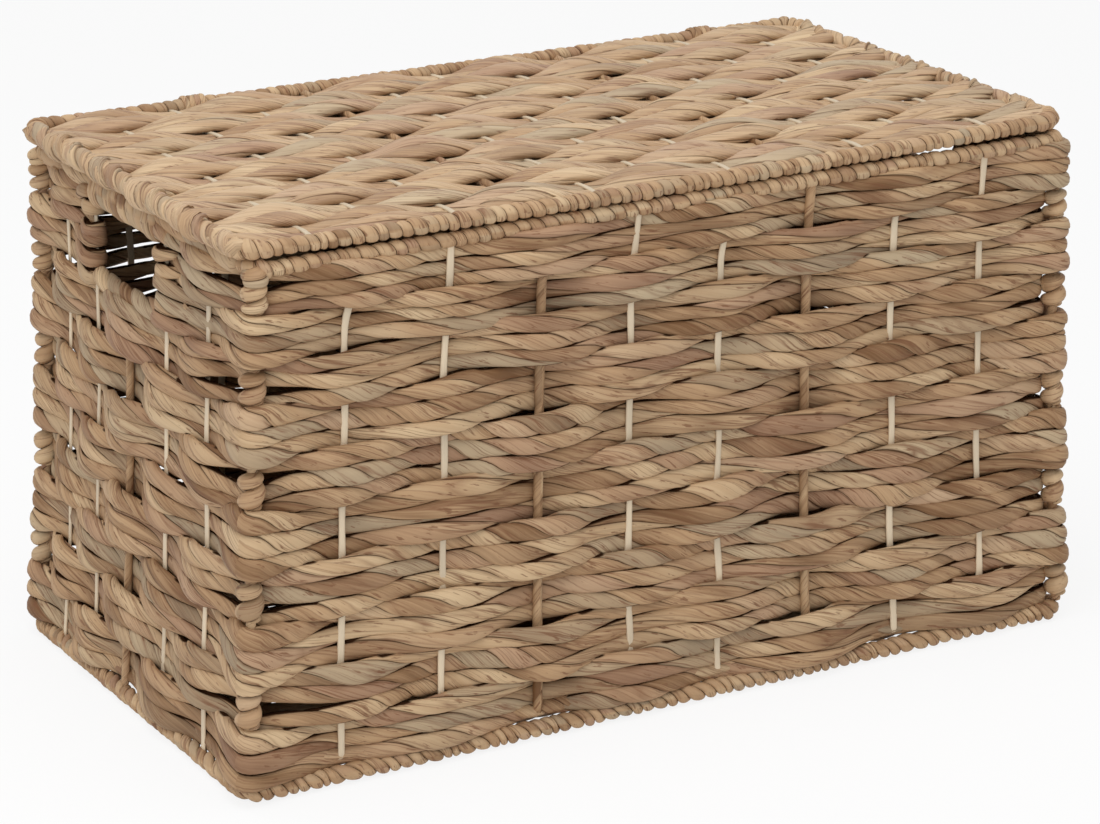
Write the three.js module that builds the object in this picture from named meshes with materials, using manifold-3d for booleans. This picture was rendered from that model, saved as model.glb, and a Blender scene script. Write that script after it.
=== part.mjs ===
// Woven lidded box: a wire-framed trunk woven from twisted plant-fibre rope, with a lashed flat lid.
// Millimetres. The origin is under the middle of the base, +X runs along the length,
// the front faces -Y and +Z is up.
import * as THREE from "three";
import { mergeVertices } from "three/addons/utils/BufferGeometryUtils.js";
import Module from "manifold-3d";

const wasm = await Module();
wasm.setup();

// Box frame: the centre lines of the top and bottom rims
const frameLength = 584;
const frameDepth = 306;
const rimDiameter = 13;
const rimWireDiameter = 5;
const rimCornerRadius = 14;
const wrapJoint = 1;

// Wall weave: each course is a band of ropes that runs round the stakes
const courseCount = 10;
const courseHeight = 29.3;
const wallRope = 9;
const straightRun = 1.5;

// Stakes that the ropes weave round: flat strips, and wires wrapped in leaf
const stripWidth = 4.5;
const stripThickness = 2;
const uprightDiameter = 6;
const cornerPostDiameter = 14;
const longStakeCount = 8;
const sideStakeCount = 5;
const wrappedLongStakes = [3, 6];
const wrappedSideStakes = [3];

// Handle holes in the two short sides, and the binding above them
const cutCourses = 2;
const holeWidth = 80;
const gripDiameter = 16;
const sillDiameter = 12;

// Base weave
const baseCourseCount = 10;
const baseRope = 9;

// Lid frame and lid weave
const lidEndInset = 5;
const lidSideInset = 7;
const lidShift = -7;
const lidWireDiameter = 4;
const lidRimDiameter = 13;
const lidCornerRadius = 12;
const lidCourseCount = 10;
const lidRope = 6;
const lidStakeCount = 11;
const lidUprightDiameter = 5;
const wrappedLidStakes = [4, 8];

// Hinge lashings: fibre loops round the box's back rim and the lid's back rim
const lashingThickness = 2;
const lashingWidth = 16;
const lashingSpread = 380;

// The gap kept between pieces that touch, and how finely round pieces are faceted
const clearance = 0.3;
const rimSides = 12;
const wireSides = 8;
const arcSteps = 4;

// The lid's frame stands in from the box's frame
const lidLength = frameLength - 2 * lidEndInset;
const lidDepth = frameDepth - 2 * lidSideInset;

// Heights, from the floor up
const rimReach = rimDiameter / 2 / Math.cos(Math.PI / rimSides);
const lidRimReach = lidRimDiameter / 2 / Math.cos(Math.PI / rimSides);
const firstCourseZ = rimDiameter + clearance + uprightDiameter + clearance;
const wallTopZ = firstCourseZ + courseCount * courseHeight - clearance;
const sillCourseZ = firstCourseZ + (courseCount - cutCourses) * courseHeight;
const lashingBore = (Math.max(rimReach, lidRimReach) + clearance) / Math.cos(Math.PI / 4 / arcSteps);
const lashingReach = lashingBore + lashingThickness;
const topRimZ = wallTopZ + clearance + Math.max(lashingReach, gripDiameter / 2);
const stakeTopZ = topRimZ - rimDiameter / 2 - clearance;
const lidWeaveDrop = Math.max(lidWireDiameter, lidUprightDiameter) / 2 + clearance + lidRope;
const lidZ = topRimZ + gripDiameter / 2 + clearance + lidWeaveDrop;

const longStakeSpacing = frameLength / (longStakeCount + 1);
const sideStakeSpacing = frameDepth / (sideStakeCount + 1);
const lidStakeSpacing = lidLength / (lidStakeCount + 1);

// The handle hole along a short side, and the stakes that flank it
const holeStart = (frameDepth - holeWidth) / 2;
const holeEnd = (frameDepth + holeWidth) / 2;
const stakeBeforeHole = Math.floor(holeStart / sideStakeSpacing);
const stakeAfterHole = Math.ceil(holeEnd / sideStakeSpacing);
const gripLength = (stakeAfterHole - stakeBeforeHole) * sideStakeSpacing - stripWidth - 2 * clearance;

const box = new THREE.Group();
const lid = new THREE.Group();
lid.position.set(lidShift, 0, lidZ);
box.add(lid);

const finishes = {
  rope: { color: 0xb8966c, roughness: 0.85, metalness: 0 },
  strip: { color: 0xdccbab, roughness: 0.7, metalness: 0 },
  leaf: { color: 0x9b7b55, roughness: 0.75, metalness: 0 },
  wire: { color: 0x4a4744, roughness: 0.45, metalness: 0.9 },
};

function addPiece(group, name, finish, geometry) {
  const mesh = new THREE.Mesh(geometry, new THREE.MeshStandardMaterial(finishes[finish]));
  mesh.name = name;
  group.add(mesh);
}

function numbered(name, number) {
  return `${name}_${String(number).padStart(2, "0")}`;
}

// Turns that carry a flat drawing into the part: its x and y become the first two axes,
// and it is extruded along the third.
const AXIS_X = new THREE.Vector3(1, 0, 0);
const AXIS_Y = new THREE.Vector3(0, 1, 0);
const AXIS_Z = new THREE.Vector3(0, 0, 1);
const alongX = new THREE.Matrix4().makeBasis(AXIS_Y, AXIS_Z, AXIS_X);
const alongY = new THREE.Matrix4().makeBasis(AXIS_X, AXIS_Z, AXIS_Y.clone().negate());

// A regular outline, measured across its flats, with one flat facing down.
function roundOutline(diameter, sides) {
  const reach = diameter / 2 / Math.cos(Math.PI / sides);
  const points = [];
  for (let k = 0; k < sides; k++) {
    const angle = -Math.PI / 2 + ((2 * k + 1) * Math.PI) / sides;
    points.push(new THREE.Vector2(reach * Math.cos(angle), reach * Math.sin(angle)));
  }
  return points;
}

// A rectangle with rounded corners, counter-clockwise.
function roundedRectangle(length, depth, radius) {
  const points = [];
  for (let corner = 0; corner < 4; corner++) {
    const start = -Math.PI / 2 + (corner * Math.PI) / 2;
    const x = (corner < 2 ? 1 : -1) * (length / 2 - radius);
    const y = (corner % 3 === 0 ? -1 : 1) * (depth / 2 - radius);
    for (let step = 0; step <= arcSteps; step++) {
      const turn = start + (step * Math.PI) / 2 / arcSteps;
      points.push(new THREE.Vector2(x + radius * Math.cos(turn), y + radius * Math.sin(turn)));
    }
  }
  return points;
}

// For each point of a path, the mitre that moves it one unit to the right of the way it runs.
function mitres(points, closed) {
  const last = points.length - 1;
  return points.map((point, k) => {
    const before = closed || k > 0 ? points[k > 0 ? k - 1 : last] : null;
    const after = closed || k < last ? points[k < last ? k + 1 : 0] : null;
    const way = (from, to) => to.clone().sub(from).normalize();
    const into = before ? way(before, point) : way(point, after);
    const out = after ? way(point, after) : into;
    const middle = into.clone().add(out).normalize();
    return new THREE.Vector2(middle.y, -middle.x).divideScalar(middle.dot(into));
  });
}

function offsetPath(points, distance, closed) {
  const sides = mitres(points, closed);
  return points.map((point, k) => point.clone().addScaledVector(sides[k], distance));
}

// A band of even thickness along a flat path, extruded by its height.
function band(points, thickness, height, closed) {
  const outer = offsetPath(points, thickness / 2, closed);
  const inner = offsetPath(points, -thickness / 2, closed);
  const shape = new THREE.Shape(closed ? outer : [...outer, ...inner.reverse()]);
  if (closed) {
    shape.holes.push(new THREE.Path(inner));
  }
  return new THREE.ExtrudeGeometry(shape, { depth: height, bevelEnabled: false });
}

// A bar of one outline, with an optional bore, extruded by its length.
function bar(outline, length, bore) {
  const shape = new THREE.Shape(outline);
  if (bore) {
    shape.holes.push(new THREE.Path(bore));
  }
  return new THREE.ExtrudeGeometry(shape, { depth: length, bevelEnabled: false });
}

// A round rod swept along a flat path: the outline's x lies to the right of the path.
function rod(outline, points, closed) {
  const sides = mitres(points, closed);
  const count = outline.length;
  const rings = points.length;
  const positions = [];
  const faces = [];
  points.forEach((point, ring) => {
    outline.forEach((corner) => {
      const at = point.clone().addScaledVector(sides[ring], corner.x);
      positions.push(at.x, at.y, corner.y);
    });
  });
  for (let ring = 0; ring < (closed ? rings : rings - 1); ring++) {
    const here = ring * count;
    const there = ((ring + 1) % rings) * count;
    for (let k = 0; k < count; k++) {
      const next = (k + 1) % count;
      faces.push(here + k, there + k, there + next, here + k, there + next, here + next);
    }
  }
  if (!closed) {
    const end = (rings - 1) * count;
    for (let k = 1; k < count - 1; k++) {
      faces.push(0, k, k + 1, end, end + k + 1, end + k);
    }
  }
  const geometry = new THREE.BufferGeometry();
  geometry.setAttribute("position", new THREE.Float32BufferAttribute(positions, 3));
  geometry.setIndex(faces);
  return geometry;
}

function toSolid(geometry) {
  const bare = geometry.clone();
  bare.deleteAttribute("normal");
  bare.deleteAttribute("uv");
  const merged = mergeVertices(bare, 1e-4);
  const vertProperties = new Float32Array(merged.attributes.position.array);
  const triVerts = new Uint32Array(merged.index.array);
  return new wasm.Manifold(new wasm.Mesh({ numProp: 3, vertProperties, triVerts }));
}

function toGeometry(solid) {
  const mesh = solid.getMesh();
  const geometry = new THREE.BufferGeometry();
  geometry.setAttribute("position", new THREE.Float32BufferAttribute(mesh.vertProperties, 3));
  geometry.setIndex([...mesh.triVerts]);
  return geometry;
}

function block(x0, x1, y0, y1, z0, z1) {
  const geometry = new THREE.BoxGeometry(x1 - x0, y1 - y0, z1 - z0);
  return geometry.translate((x0 + x1) / 2, (y0 + y1) / 2, (z0 + z1) / 2);
}

// The four walls in the order that a rope runs round them, each from its first corner
function wall(name, corner, along, stakes, spacing, wrapped, firstIndex) {
  const outward = new THREE.Vector2(along.y, -along.x);
  return { name, corner, along, outward, stakes, spacing, wrapped, firstIndex };
}

const halfLength = frameLength / 2;
const halfDepth = frameDepth / 2;
const sideIndex = longStakeCount + 1;
const backIndex = sideIndex + sideStakeCount + 1;
const leftIndex = backIndex + longStakeCount + 1;
const walls = [
  wall("front", new THREE.Vector2(-halfLength, -halfDepth), new THREE.Vector2(1, 0),
    longStakeCount, longStakeSpacing, wrappedLongStakes, 0),
  wall("right", new THREE.Vector2(halfLength, -halfDepth), new THREE.Vector2(0, 1),
    sideStakeCount, sideStakeSpacing, wrappedSideStakes, sideIndex),
  wall("back", new THREE.Vector2(halfLength, halfDepth), new THREE.Vector2(-1, 0),
    longStakeCount, longStakeSpacing, wrappedLongStakes, backIndex),
  wall("left", new THREE.Vector2(-halfLength, halfDepth), new THREE.Vector2(0, -1),
    sideStakeCount, sideStakeSpacing, wrappedSideStakes, leftIndex),
];

function wallBefore(number) {
  return walls.at(number - 1);
}

function wallAfter(number) {
  return walls[(number + 1) % walls.length];
}

// A point on a wall: so far along it, and so far out from its middle plane.
function onWall(side, along, out) {
  return side.corner.clone().addScaledVector(side.along, along).addScaledVector(side.outward, out);
}

// A course passes outside one stake and inside the next, and the course above does the opposite.
function passesOutside(index, course) {
  return (index + courseCount + 1 - course) % 2 === 0;
}

// How far out from a wall's middle plane a course runs as it passes a stake.
function outAtStake(side, stake, course) {
  const wrapped = side.wrapped.includes(stake);
  const out = (wrapped ? uprightDiameter : stripThickness) / 2 + clearance + wallRope / 2;
  return passesOutside(side.firstIndex + stake, course) ? out : -out;
}

function wallRun(side, course, first, last) {
  const points = [];
  for (let stake = first; stake <= last; stake++) {
    const at = stake * side.spacing;
    const wrapped = side.wrapped.includes(stake);
    const halfWidth = (wrapped ? uprightDiameter : stripWidth) / 2 + straightRun;
    const out = outAtStake(side, stake, course);
    points.push(onWall(side, at - halfWidth, out), onWall(side, at + halfWidth, out));
  }
  return points;
}

// Round the post at a wall's first corner: an arc outside it, or a chamfer inside it.
function cornerRun(number, course) {
  const side = walls[number];
  const previous = wallBefore(number);
  const past = cornerPostDiameter / 2 + clearance;
  const reach = past + wallRope / 2;
  const arrive = previous.stakes * previous.spacing + previous.spacing;
  if (!passesOutside(side.firstIndex, course)) {
    const inset = reach * (Math.SQRT2 - 1);
    return [onWall(previous, arrive - reach, -inset), onWall(side, reach, -inset)];
  }
  const points = [onWall(previous, arrive - past, reach)];
  const arcReach = reach / Math.cos(Math.PI / 4 / arcSteps);
  for (let step = 0; step <= arcSteps; step++) {
    const turn = (step * Math.PI) / 2 / arcSteps;
    const point = side.corner.clone();
    point.addScaledVector(previous.outward, arcReach * Math.cos(turn));
    points.push(point.addScaledVector(side.outward, arcReach * Math.sin(turn)));
  }
  points.push(onWall(side, past, reach));
  return points;
}

// A whole ring of rope round the box
function ringRun(course) {
  return walls.flatMap((side, number) => [
    ...cornerRun(number, course),
    ...wallRun(side, course, 1, side.stakes),
  ]);
}

// One of the two halves that the handle holes leave: it ends past the last stake before each hole
function halfRun(long, course) {
  const into = wallBefore(long);
  const out = wallAfter(long);
  return [
    onWall(into, holeEnd, outAtStake(into, stakeAfterHole, course)),
    ...wallRun(into, course, stakeAfterHole, into.stakes),
    ...cornerRun(long, course),
    ...wallRun(walls[long], course, 1, walls[long].stakes),
    ...cornerRun(walls.indexOf(out), course),
    ...wallRun(out, course, 1, stakeBeforeHole),
    onWall(out, holeStart, outAtStake(out, stakeBeforeHole, course)),
  ];
}

// Wall courses, from the bottom up
const longWalls = ["front", "back"].map((name) => walls.findIndex((side) => side.name === name));

for (let course = 1; course <= courseCount; course++) {
  const name = numbered("wall_course", course);
  const z = firstCourseZ + (course - 1) * courseHeight;
  const height = courseHeight - clearance;
  if (course <= courseCount - cutCourses) {
    addPiece(box, name, "rope", band(ringRun(course), wallRope, height, true).translate(0, 0, z));
    continue;
  }
  for (const long of longWalls) {
    const half = band(halfRun(long, course), wallRope, height, false).translate(0, 0, z);
    addPiece(box, `${name}_${walls[long].name}`, "rope", half);
  }
}

// Long stakes: each runs down the front, across the base and up the back
function baseStakeZ(wrapped) {
  return rimDiameter + clearance + (wrapped ? uprightDiameter : stripThickness) / 2;
}

for (let stake = 1; stake <= longStakeCount; stake++) {
  const wrapped = wrappedLongStakes.includes(stake);
  const x = -halfLength + stake * longStakeSpacing;
  const bottom = baseStakeZ(wrapped);
  const route = [
    new THREE.Vector2(-halfDepth, stakeTopZ),
    new THREE.Vector2(-halfDepth, bottom),
    new THREE.Vector2(halfDepth, bottom),
    new THREE.Vector2(halfDepth, stakeTopZ),
  ];
  const geometry = wrapped
    ? rod(roundOutline(uprightDiameter, wireSides), route, false)
    : band(route, stripThickness, stripWidth, false).translate(0, 0, -stripWidth / 2);
  geometry.applyMatrix4(alongX).translate(x, 0, 0);
  addPiece(box, numbered("long_stake", stake), wrapped ? "leaf" : "strip", geometry);
}

// Side stakes stand on the bottom rim; the one under the handle hole stops at the sill
for (const side of [walls[3], walls[1]]) {
  for (let stake = 1; stake <= sideStakeCount; stake++) {
    const wrapped = wrappedSideStakes.includes(stake);
    const spot = onWall(side, stake * sideStakeSpacing, 0);
    const underHole = Math.abs(spot.y) < holeWidth / 2;
    const bottom = rimDiameter + clearance;
    const length = (underHole ? sillCourseZ - clearance : stakeTopZ) - bottom;
    const geometry = wrapped
      ? bar(roundOutline(uprightDiameter, wireSides), length)
      : block(-stripThickness / 2, stripThickness / 2, -stripWidth / 2, stripWidth / 2, 0, length);
    geometry.translate(spot.x, spot.y, bottom);
    addPiece(box, numbered(`${side.name}_stake`, stake), wrapped ? "leaf" : "strip", geometry);
  }
}

// Corner posts: thick ropes over the frame's corner wires
const postNames = ["front_left", "front_right", "back_right", "back_left"];
walls.forEach((side, number) => {
  const bottom = rimDiameter + clearance;
  const post = bar(roundOutline(cornerPostDiameter, rimSides), stakeTopZ - bottom);
  post.translate(side.corner.x, side.corner.y, bottom);
  addPiece(box, `corner_post_${postNames[number]}`, "rope", post);
});

// Rims: a closed wire ring, and the leaf wound round it with a slit where its two ends meet
function addRim(name, z) {
  const route = roundedRectangle(frameLength, frameDepth, rimCornerRadius);
  const wire = rod(roundOutline(rimWireDiameter, wireSides), route, true);
  const bore = rod(roundOutline(rimWireDiameter + 2 * clearance, wireSides), route, true);
  const wound = rod(roundOutline(rimDiameter, rimSides), route, true);
  const slit = block(-wrapJoint / 2, wrapJoint / 2, halfDepth, halfDepth + rimDiameter,
    -wrapJoint, wrapJoint);
  const wrap = toSolid(wound).subtract(toSolid(bore)).subtract(toSolid(slit));
  addPiece(box, `${name}_rim_wire`, "wire", wire.translate(0, 0, z));
  addPiece(box, `${name}_rim_wrap`, "leaf", toGeometry(wrap).translate(0, 0, z));
}

addRim("bottom", rimDiameter / 2);
addRim("top", topRimZ);

// Handles: a leaf binding over each side rim, and a wrapped cord along the foot of the hole
for (const side of [walls[3], walls[1]]) {
  const x = side.corner.x;
  const bore = roundOutline(rimDiameter + 2 * clearance, rimSides);
  const grip = bar(roundOutline(gripDiameter, rimSides), gripLength, bore).applyMatrix4(alongY);
  addPiece(box, `handle_grip_${side.name}`, "leaf", grip.translate(x, gripLength / 2, topRimZ));
  const sillLength = holeWidth - 2 * clearance;
  const sill = bar(roundOutline(sillDiameter, wireSides), sillLength).applyMatrix4(alongY);
  sill.translate(x, sillLength / 2, sillCourseZ + sillDiameter / 2);
  addPiece(box, `handle_sill_${side.name}`, "leaf", sill);
}

// A flat panel whose ropes run to and fro along X, turning back at alternate ends
function wovenPanel(count, pitch, rope, route, turn) {
  let panel = null;
  for (let course = 0; course < count; course++) {
    const middle = (course - (count - 1) / 2) * pitch;
    const width = pitch - clearance;
    const strand = band(route(course), rope, width, false).applyMatrix4(alongY);
    const solid = toSolid(strand.translate(0, middle + width / 2, 0));
    panel = panel ? panel.add(solid) : solid;
    if (course > 0) {
      const end = course % 2 === 0 ? -1 : 1;
      panel = panel.add(toSolid(turn(end, middle - pitch, middle)));
    }
  }
  return toGeometry(panel);
}

// The straight run of a rope over or under a crossing piece.
function crossing(x, z, halfWidth) {
  return [
    new THREE.Vector2(x - halfWidth - straightRun, z),
    new THREE.Vector2(x + halfWidth + straightRun, z),
  ];
}

// Base weave, inside the walls and round the base runs of the long stakes
const wallReach = Math.max(uprightDiameter, stripThickness) / 2 + clearance + wallRope;
const baseEnd = halfLength - wallReach - clearance;
const basePitch = (2 * (halfDepth - wallReach)) / baseCourseCount;
const baseMiddleZ = baseStakeZ(false);

function baseRoute(course) {
  const points = [new THREE.Vector2(-baseEnd, baseMiddleZ)];
  points.push(new THREE.Vector2(-baseEnd + 2 * baseRope, baseMiddleZ));
  for (let stake = 1; stake <= longStakeCount; stake++) {
    const wrapped = wrappedLongStakes.includes(stake);
    const halfWidth = (wrapped ? uprightDiameter : stripWidth) / 2;
    const halfThickness = (wrapped ? uprightDiameter : stripThickness) / 2;
    const lift = halfThickness + clearance + baseRope / 2;
    const z = baseStakeZ(wrapped) + ((stake + course) % 2 === 0 ? lift : -lift);
    points.push(...crossing(-halfLength + stake * longStakeSpacing, z, halfWidth));
  }
  points.push(new THREE.Vector2(baseEnd - 2 * baseRope, baseMiddleZ));
  points.push(new THREE.Vector2(baseEnd, baseMiddleZ));
  return points;
}

function baseTurn(end, from, to) {
  const inner = end * (baseEnd - baseRope);
  const outer = end * baseEnd;
  const half = baseRope / 2;
  return block(Math.min(inner, outer), Math.max(inner, outer), from, to,
    baseMiddleZ - half, baseMiddleZ + half);
}

addPiece(box, "base_weave", "rope",
  wovenPanel(baseCourseCount, basePitch, baseRope, baseRoute, baseTurn));

// Lid frame: a closed wire with wound leaf along its front and back
const lidHalfLength = lidLength / 2;
const lidHalfDepth = lidDepth / 2;
const lidWire = rod(roundOutline(lidWireDiameter, wireSides),
  roundedRectangle(lidLength, lidDepth, lidCornerRadius), true);
addPiece(lid, "lid_frame_wire", "wire", lidWire);

const lidRimLength = lidLength - 2 * (lidCornerRadius + clearance);
for (const [name, y] of [["front", -lidHalfDepth], ["back", lidHalfDepth]]) {
  const bore = roundOutline(lidWireDiameter + 2 * clearance, wireSides);
  const wrap = bar(roundOutline(lidRimDiameter, rimSides), lidRimLength, bore).applyMatrix4(alongX);
  addPiece(lid, `lid_rim_${name}`, "leaf", wrap.translate(-lidRimLength / 2, y, 0));
}

// Lid stakes, from the front rim to the back rim
const lidStakeLength = lidDepth - lidRimDiameter - 2 * clearance;
for (let stake = 1; stake <= lidStakeCount; stake++) {
  const wrapped = wrappedLidStakes.includes(stake);
  const outline = wrapped
    ? roundOutline(lidUprightDiameter, wireSides)
    : [[-1, -1], [1, -1], [1, 1], [-1, 1]].map(
      ([x, z]) => new THREE.Vector2((x * stripWidth) / 2, (z * stripThickness) / 2));
  const geometry = bar(outline, lidStakeLength).applyMatrix4(alongY);
  geometry.translate(-lidHalfLength + stake * lidStakeSpacing, lidStakeLength / 2, 0);
  addPiece(lid, numbered("lid_stake", stake), wrapped ? "leaf" : "strip", geometry);
}

// Lid weave, turning back round the side wires and kept clear of the hinge lashings
const lidPitch = (2 * (lidHalfDepth - lashingReach) - clearance) / lidCourseCount;
const lidSideOut = lidWireDiameter / 2 + clearance;

function lidRoute(course) {
  const points = [];
  for (let stake = 0; stake <= lidStakeCount + 1; stake++) {
    const isWire = stake === 0 || stake === lidStakeCount + 1;
    const wrapped = wrappedLidStakes.includes(stake);
    const stakeWidth = wrapped ? lidUprightDiameter : stripWidth;
    const stakeThickness = wrapped ? lidUprightDiameter : stripThickness;
    const halfWidth = (isWire ? lidWireDiameter : stakeWidth) / 2;
    const lift = (isWire ? lidWireDiameter : stakeThickness) / 2 + clearance + lidRope / 2;
    const z = (stake + course) % 2 === 0 ? lift : -lift;
    points.push(...crossing(-lidHalfLength + stake * lidStakeSpacing, z, halfWidth));
  }
  const outer = lidHalfLength + lidSideOut + lidRope;
  points[0].x = -outer;
  points[points.length - 1].x = outer;
  return points;
}

function lidTurn(end, from, to) {
  const inner = end * (lidHalfLength + lidSideOut);
  const outer = end * (lidHalfLength + lidSideOut + lidRope);
  const drop = lidSideOut + lidRope;
  return block(Math.min(inner, outer), Math.max(inner, outer), from, to, -drop, drop);
}

addPiece(lid, "lid_weave", "rope",
  wovenPanel(lidCourseCount, lidPitch, lidRope, lidRoute, lidTurn));

// Hinge lashings, each in the clear stretch of the back rims nearest its wanted place
const hingeY = lidHalfDepth;
const stakesAlongBack = [];
for (let stake = 0; stake <= longStakeCount + 1; stake++) {
  stakesAlongBack.push(-halfLength + stake * longStakeSpacing);
}
for (let stake = 0; stake <= lidStakeCount + 1; stake++) {
  stakesAlongBack.push(lidShift - lidHalfLength + stake * lidStakeSpacing);
}
stakesAlongBack.sort((a, b) => a - b);

function clearSpot(wanted) {
  const needed = lashingWidth + Math.max(stripWidth, uprightDiameter) + 2 * clearance;
  const middles = [];
  for (let k = 1; k < stakesAlongBack.length; k++) {
    const from = stakesAlongBack[k - 1];
    const to = stakesAlongBack[k];
    if (to - from >= needed) {
      middles.push((from + to) / 2);
    }
  }
  return middles.sort((a, b) => Math.abs(a - wanted) - Math.abs(b - wanted))[0];
}

// The outline of a loop stretched round two bars of one radius.
function loopOutline(radius) {
  const lower = new THREE.Vector2(halfDepth, topRimZ);
  const upper = new THREE.Vector2(hingeY, lidZ);
  const lean = upper.clone().sub(lower).angle();
  const points = [];
  for (const [centre, start] of [[upper, lean - Math.PI / 2], [lower, lean + Math.PI / 2]]) {
    for (let step = 0; step <= 2 * arcSteps; step++) {
      const angle = start + (step * Math.PI) / 2 / arcSteps;
      points.push(new THREE.Vector2(Math.cos(angle), Math.sin(angle)).multiplyScalar(radius).add(centre));
    }
  }
  return points;
}

for (const [name, side] of [["left", -1], ["right", 1]]) {
  const x = clearSpot((side * lashingSpread) / 2);
  const loop = bar(loopOutline(lashingReach), lashingWidth, loopOutline(lashingBore));
  loop.applyMatrix4(alongX).translate(x - lashingWidth / 2, 0, 0);
  addPiece(box, `hinge_lashing_${name}`, "leaf", loop);
}

export default box;
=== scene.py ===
"""Looks of the woven lidded box: rope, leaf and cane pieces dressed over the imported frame.

Sizes are metres. A piece is built from grids: rings of points carried along a path, n rings
by m columns, closed round each ring.
"""

import math

import bpy
import numpy as np
from bpy.props import FloatProperty, FloatVectorProperty, IntProperty, PointerProperty
from mathutils import Matrix, Vector


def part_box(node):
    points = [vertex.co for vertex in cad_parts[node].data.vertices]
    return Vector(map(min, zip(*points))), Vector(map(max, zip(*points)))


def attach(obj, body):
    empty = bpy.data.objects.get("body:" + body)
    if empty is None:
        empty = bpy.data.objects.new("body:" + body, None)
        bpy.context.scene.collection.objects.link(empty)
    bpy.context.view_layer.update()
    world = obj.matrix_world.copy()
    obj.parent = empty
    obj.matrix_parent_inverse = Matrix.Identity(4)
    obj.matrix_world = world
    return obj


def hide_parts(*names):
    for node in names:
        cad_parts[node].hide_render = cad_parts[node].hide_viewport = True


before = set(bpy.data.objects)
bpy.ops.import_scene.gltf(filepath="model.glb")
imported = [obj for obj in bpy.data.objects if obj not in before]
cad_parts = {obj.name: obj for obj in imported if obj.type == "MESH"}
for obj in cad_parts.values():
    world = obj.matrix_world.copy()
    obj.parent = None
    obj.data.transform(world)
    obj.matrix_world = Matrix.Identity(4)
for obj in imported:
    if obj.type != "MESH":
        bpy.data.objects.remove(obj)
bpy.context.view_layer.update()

bl_info = {
    "name": "Woven lidded box",
    "version": (1, 0, 0),
    "blender": (4, 5, 0),
    "location": "View3D > Sidebar > Woven box",
    "description": "Dresses a woven box with rope, leaf and cane, and sets it on a pale floor",
    "category": "Object",
}

TAU = 2 * math.pi
AXIS_X, AXIS_Y, AXIS_Z = np.eye(3)


# What the frame gives

def low_corner(node):
    return np.array(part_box(node)[0])


def high_corner(node):
    return np.array(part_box(node)[1])


def middle(node):
    return (low_corner(node) + high_corner(node)) / 2


def extent(node):
    return high_corner(node) - low_corner(node)


def nodes_named(start):
    return sorted(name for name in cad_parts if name.startswith(start))


def is_wrapped(node):
    """A stake is wrapped where the frame makes it of leaf. The others are flat strips."""
    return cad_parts[node].material_slots[0].name.split(".")[0] == "leaf"


COURSE_COUNT = len({name[:len("wall_course_00")] for name in nodes_named("wall_course_")})

# The base and the lid have as many lanes of rope as a wall has courses
LANE_COUNT = COURSE_COUNT

POST = "corner_post_front_left"
HALF_LENGTH = -middle(POST)[0]
HALF_DEPTH = -middle(POST)[1]
RIM_RADIUS = extent("bottom_rim_wrap")[2] / 2
BOTTOM_RIM_Z = middle("bottom_rim_wrap")[2]
TOP_RIM_Z = middle("top_rim_wrap")[2]
LID_Z = middle("lid_frame_wire")[2]
LID_LEFT = low_corner("lid_frame_wire")[0] + extent("lid_frame_wire")[2] / 2
LID_RIGHT = high_corner("lid_frame_wire")[0] - extent("lid_frame_wire")[2] / 2
LID_FRONT = middle("lid_rim_front")[1]
LID_BACK = middle("lid_rim_back")[1]

# The wound top rim is thinner than its solid, and hangs a little lower
WOUND_RIM_Z = TOP_RIM_Z - 0.0014

# The lowest course starts on the bottom rim, and the highest ends under the top rim
WALL_FLOOR = BOTTOM_RIM_Z + 0.85 * RIM_RADIUS
COURSE_HEIGHT = (TOP_RIM_Z - 0.7 * RIM_RADIUS - WALL_FLOOR) / COURSE_COUNT

SEEDS = {
    "courses": 11, "posts": 23, "stakes": 31, "top_rim": 41, "bottom_rim": 43, "handles": 53, "base": 61,
    "base_border": 67, "lid_ropes": 71, "lid_edges": 73, "lid_rims": 83, "lid_stakes": 89,
    "lashings": 97, "wires": 101,
}


def drawn(what, *numbers):
    """The random draws of one piece, the same in every run."""
    return np.random.default_rng([SEEDS[what], *numbers])


# Settings

def length_setting(name, description, default, **limits):
    return FloatProperty(name=name, description=description, default=default, unit="LENGTH", **limits)


def angle_setting(name, description, degrees):
    return FloatProperty(name=name, description=description, default=math.radians(degrees), subtype="ANGLE")


def colour_setting(name, description, default):
    return FloatVectorProperty(name=name, description=description, default=default,
                               size=3, min=0, max=1, subtype="COLOR")


def corner_shift(what, shift):
    return FloatVectorProperty(name=what.capitalize(), description=f"Shift of the {what} corner",
                               default=shift, size=3, subtype="XYZ", unit="LENGTH")


class WovenBoxRopes(bpy.types.PropertyGroup):
    """Sizes of the twisted ropes."""

    wall_depth: length_setting(
        "Wall rope depth", "Thickness of a wall rope, from the front to the back", 0.0088, min=0.002)
    wall_fill: FloatProperty(
        name="Wall fill", description="Height of a wall rope as a share of its space",
        default=1.10, min=0.5, max=1.5, subtype="FACTOR")
    ropes_in_course: IntProperty(
        name="Ropes in a course", description="Ropes that run side by side in a wall course",
        default=3, min=1, max=6)
    pitch: length_setting("Twist", "Length in which a rope's two plies turn once round", 0.084, min=0.01)
    lid_width: length_setting("Lid rope width", "Width of a lid rope", 0.0164, min=0.002)
    lid_depth: length_setting("Lid rope depth", "Thickness of a lid rope", 0.0078, min=0.002)
    post_width: length_setting(
        "Corner post width", "Width of the thick rope on each corner", 0.0160, min=0.005)
    corner_hug: length_setting(
        "Corner bend", "From a corner's middle to a rope that passes outside its post", 0.0056, min=0.002)
    knuckles_in_course: IntProperty(
        name="Knuckles in a course", description="Turns of a corner post in the height of a wall course",
        default=2, min=1, max=6)


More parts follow.
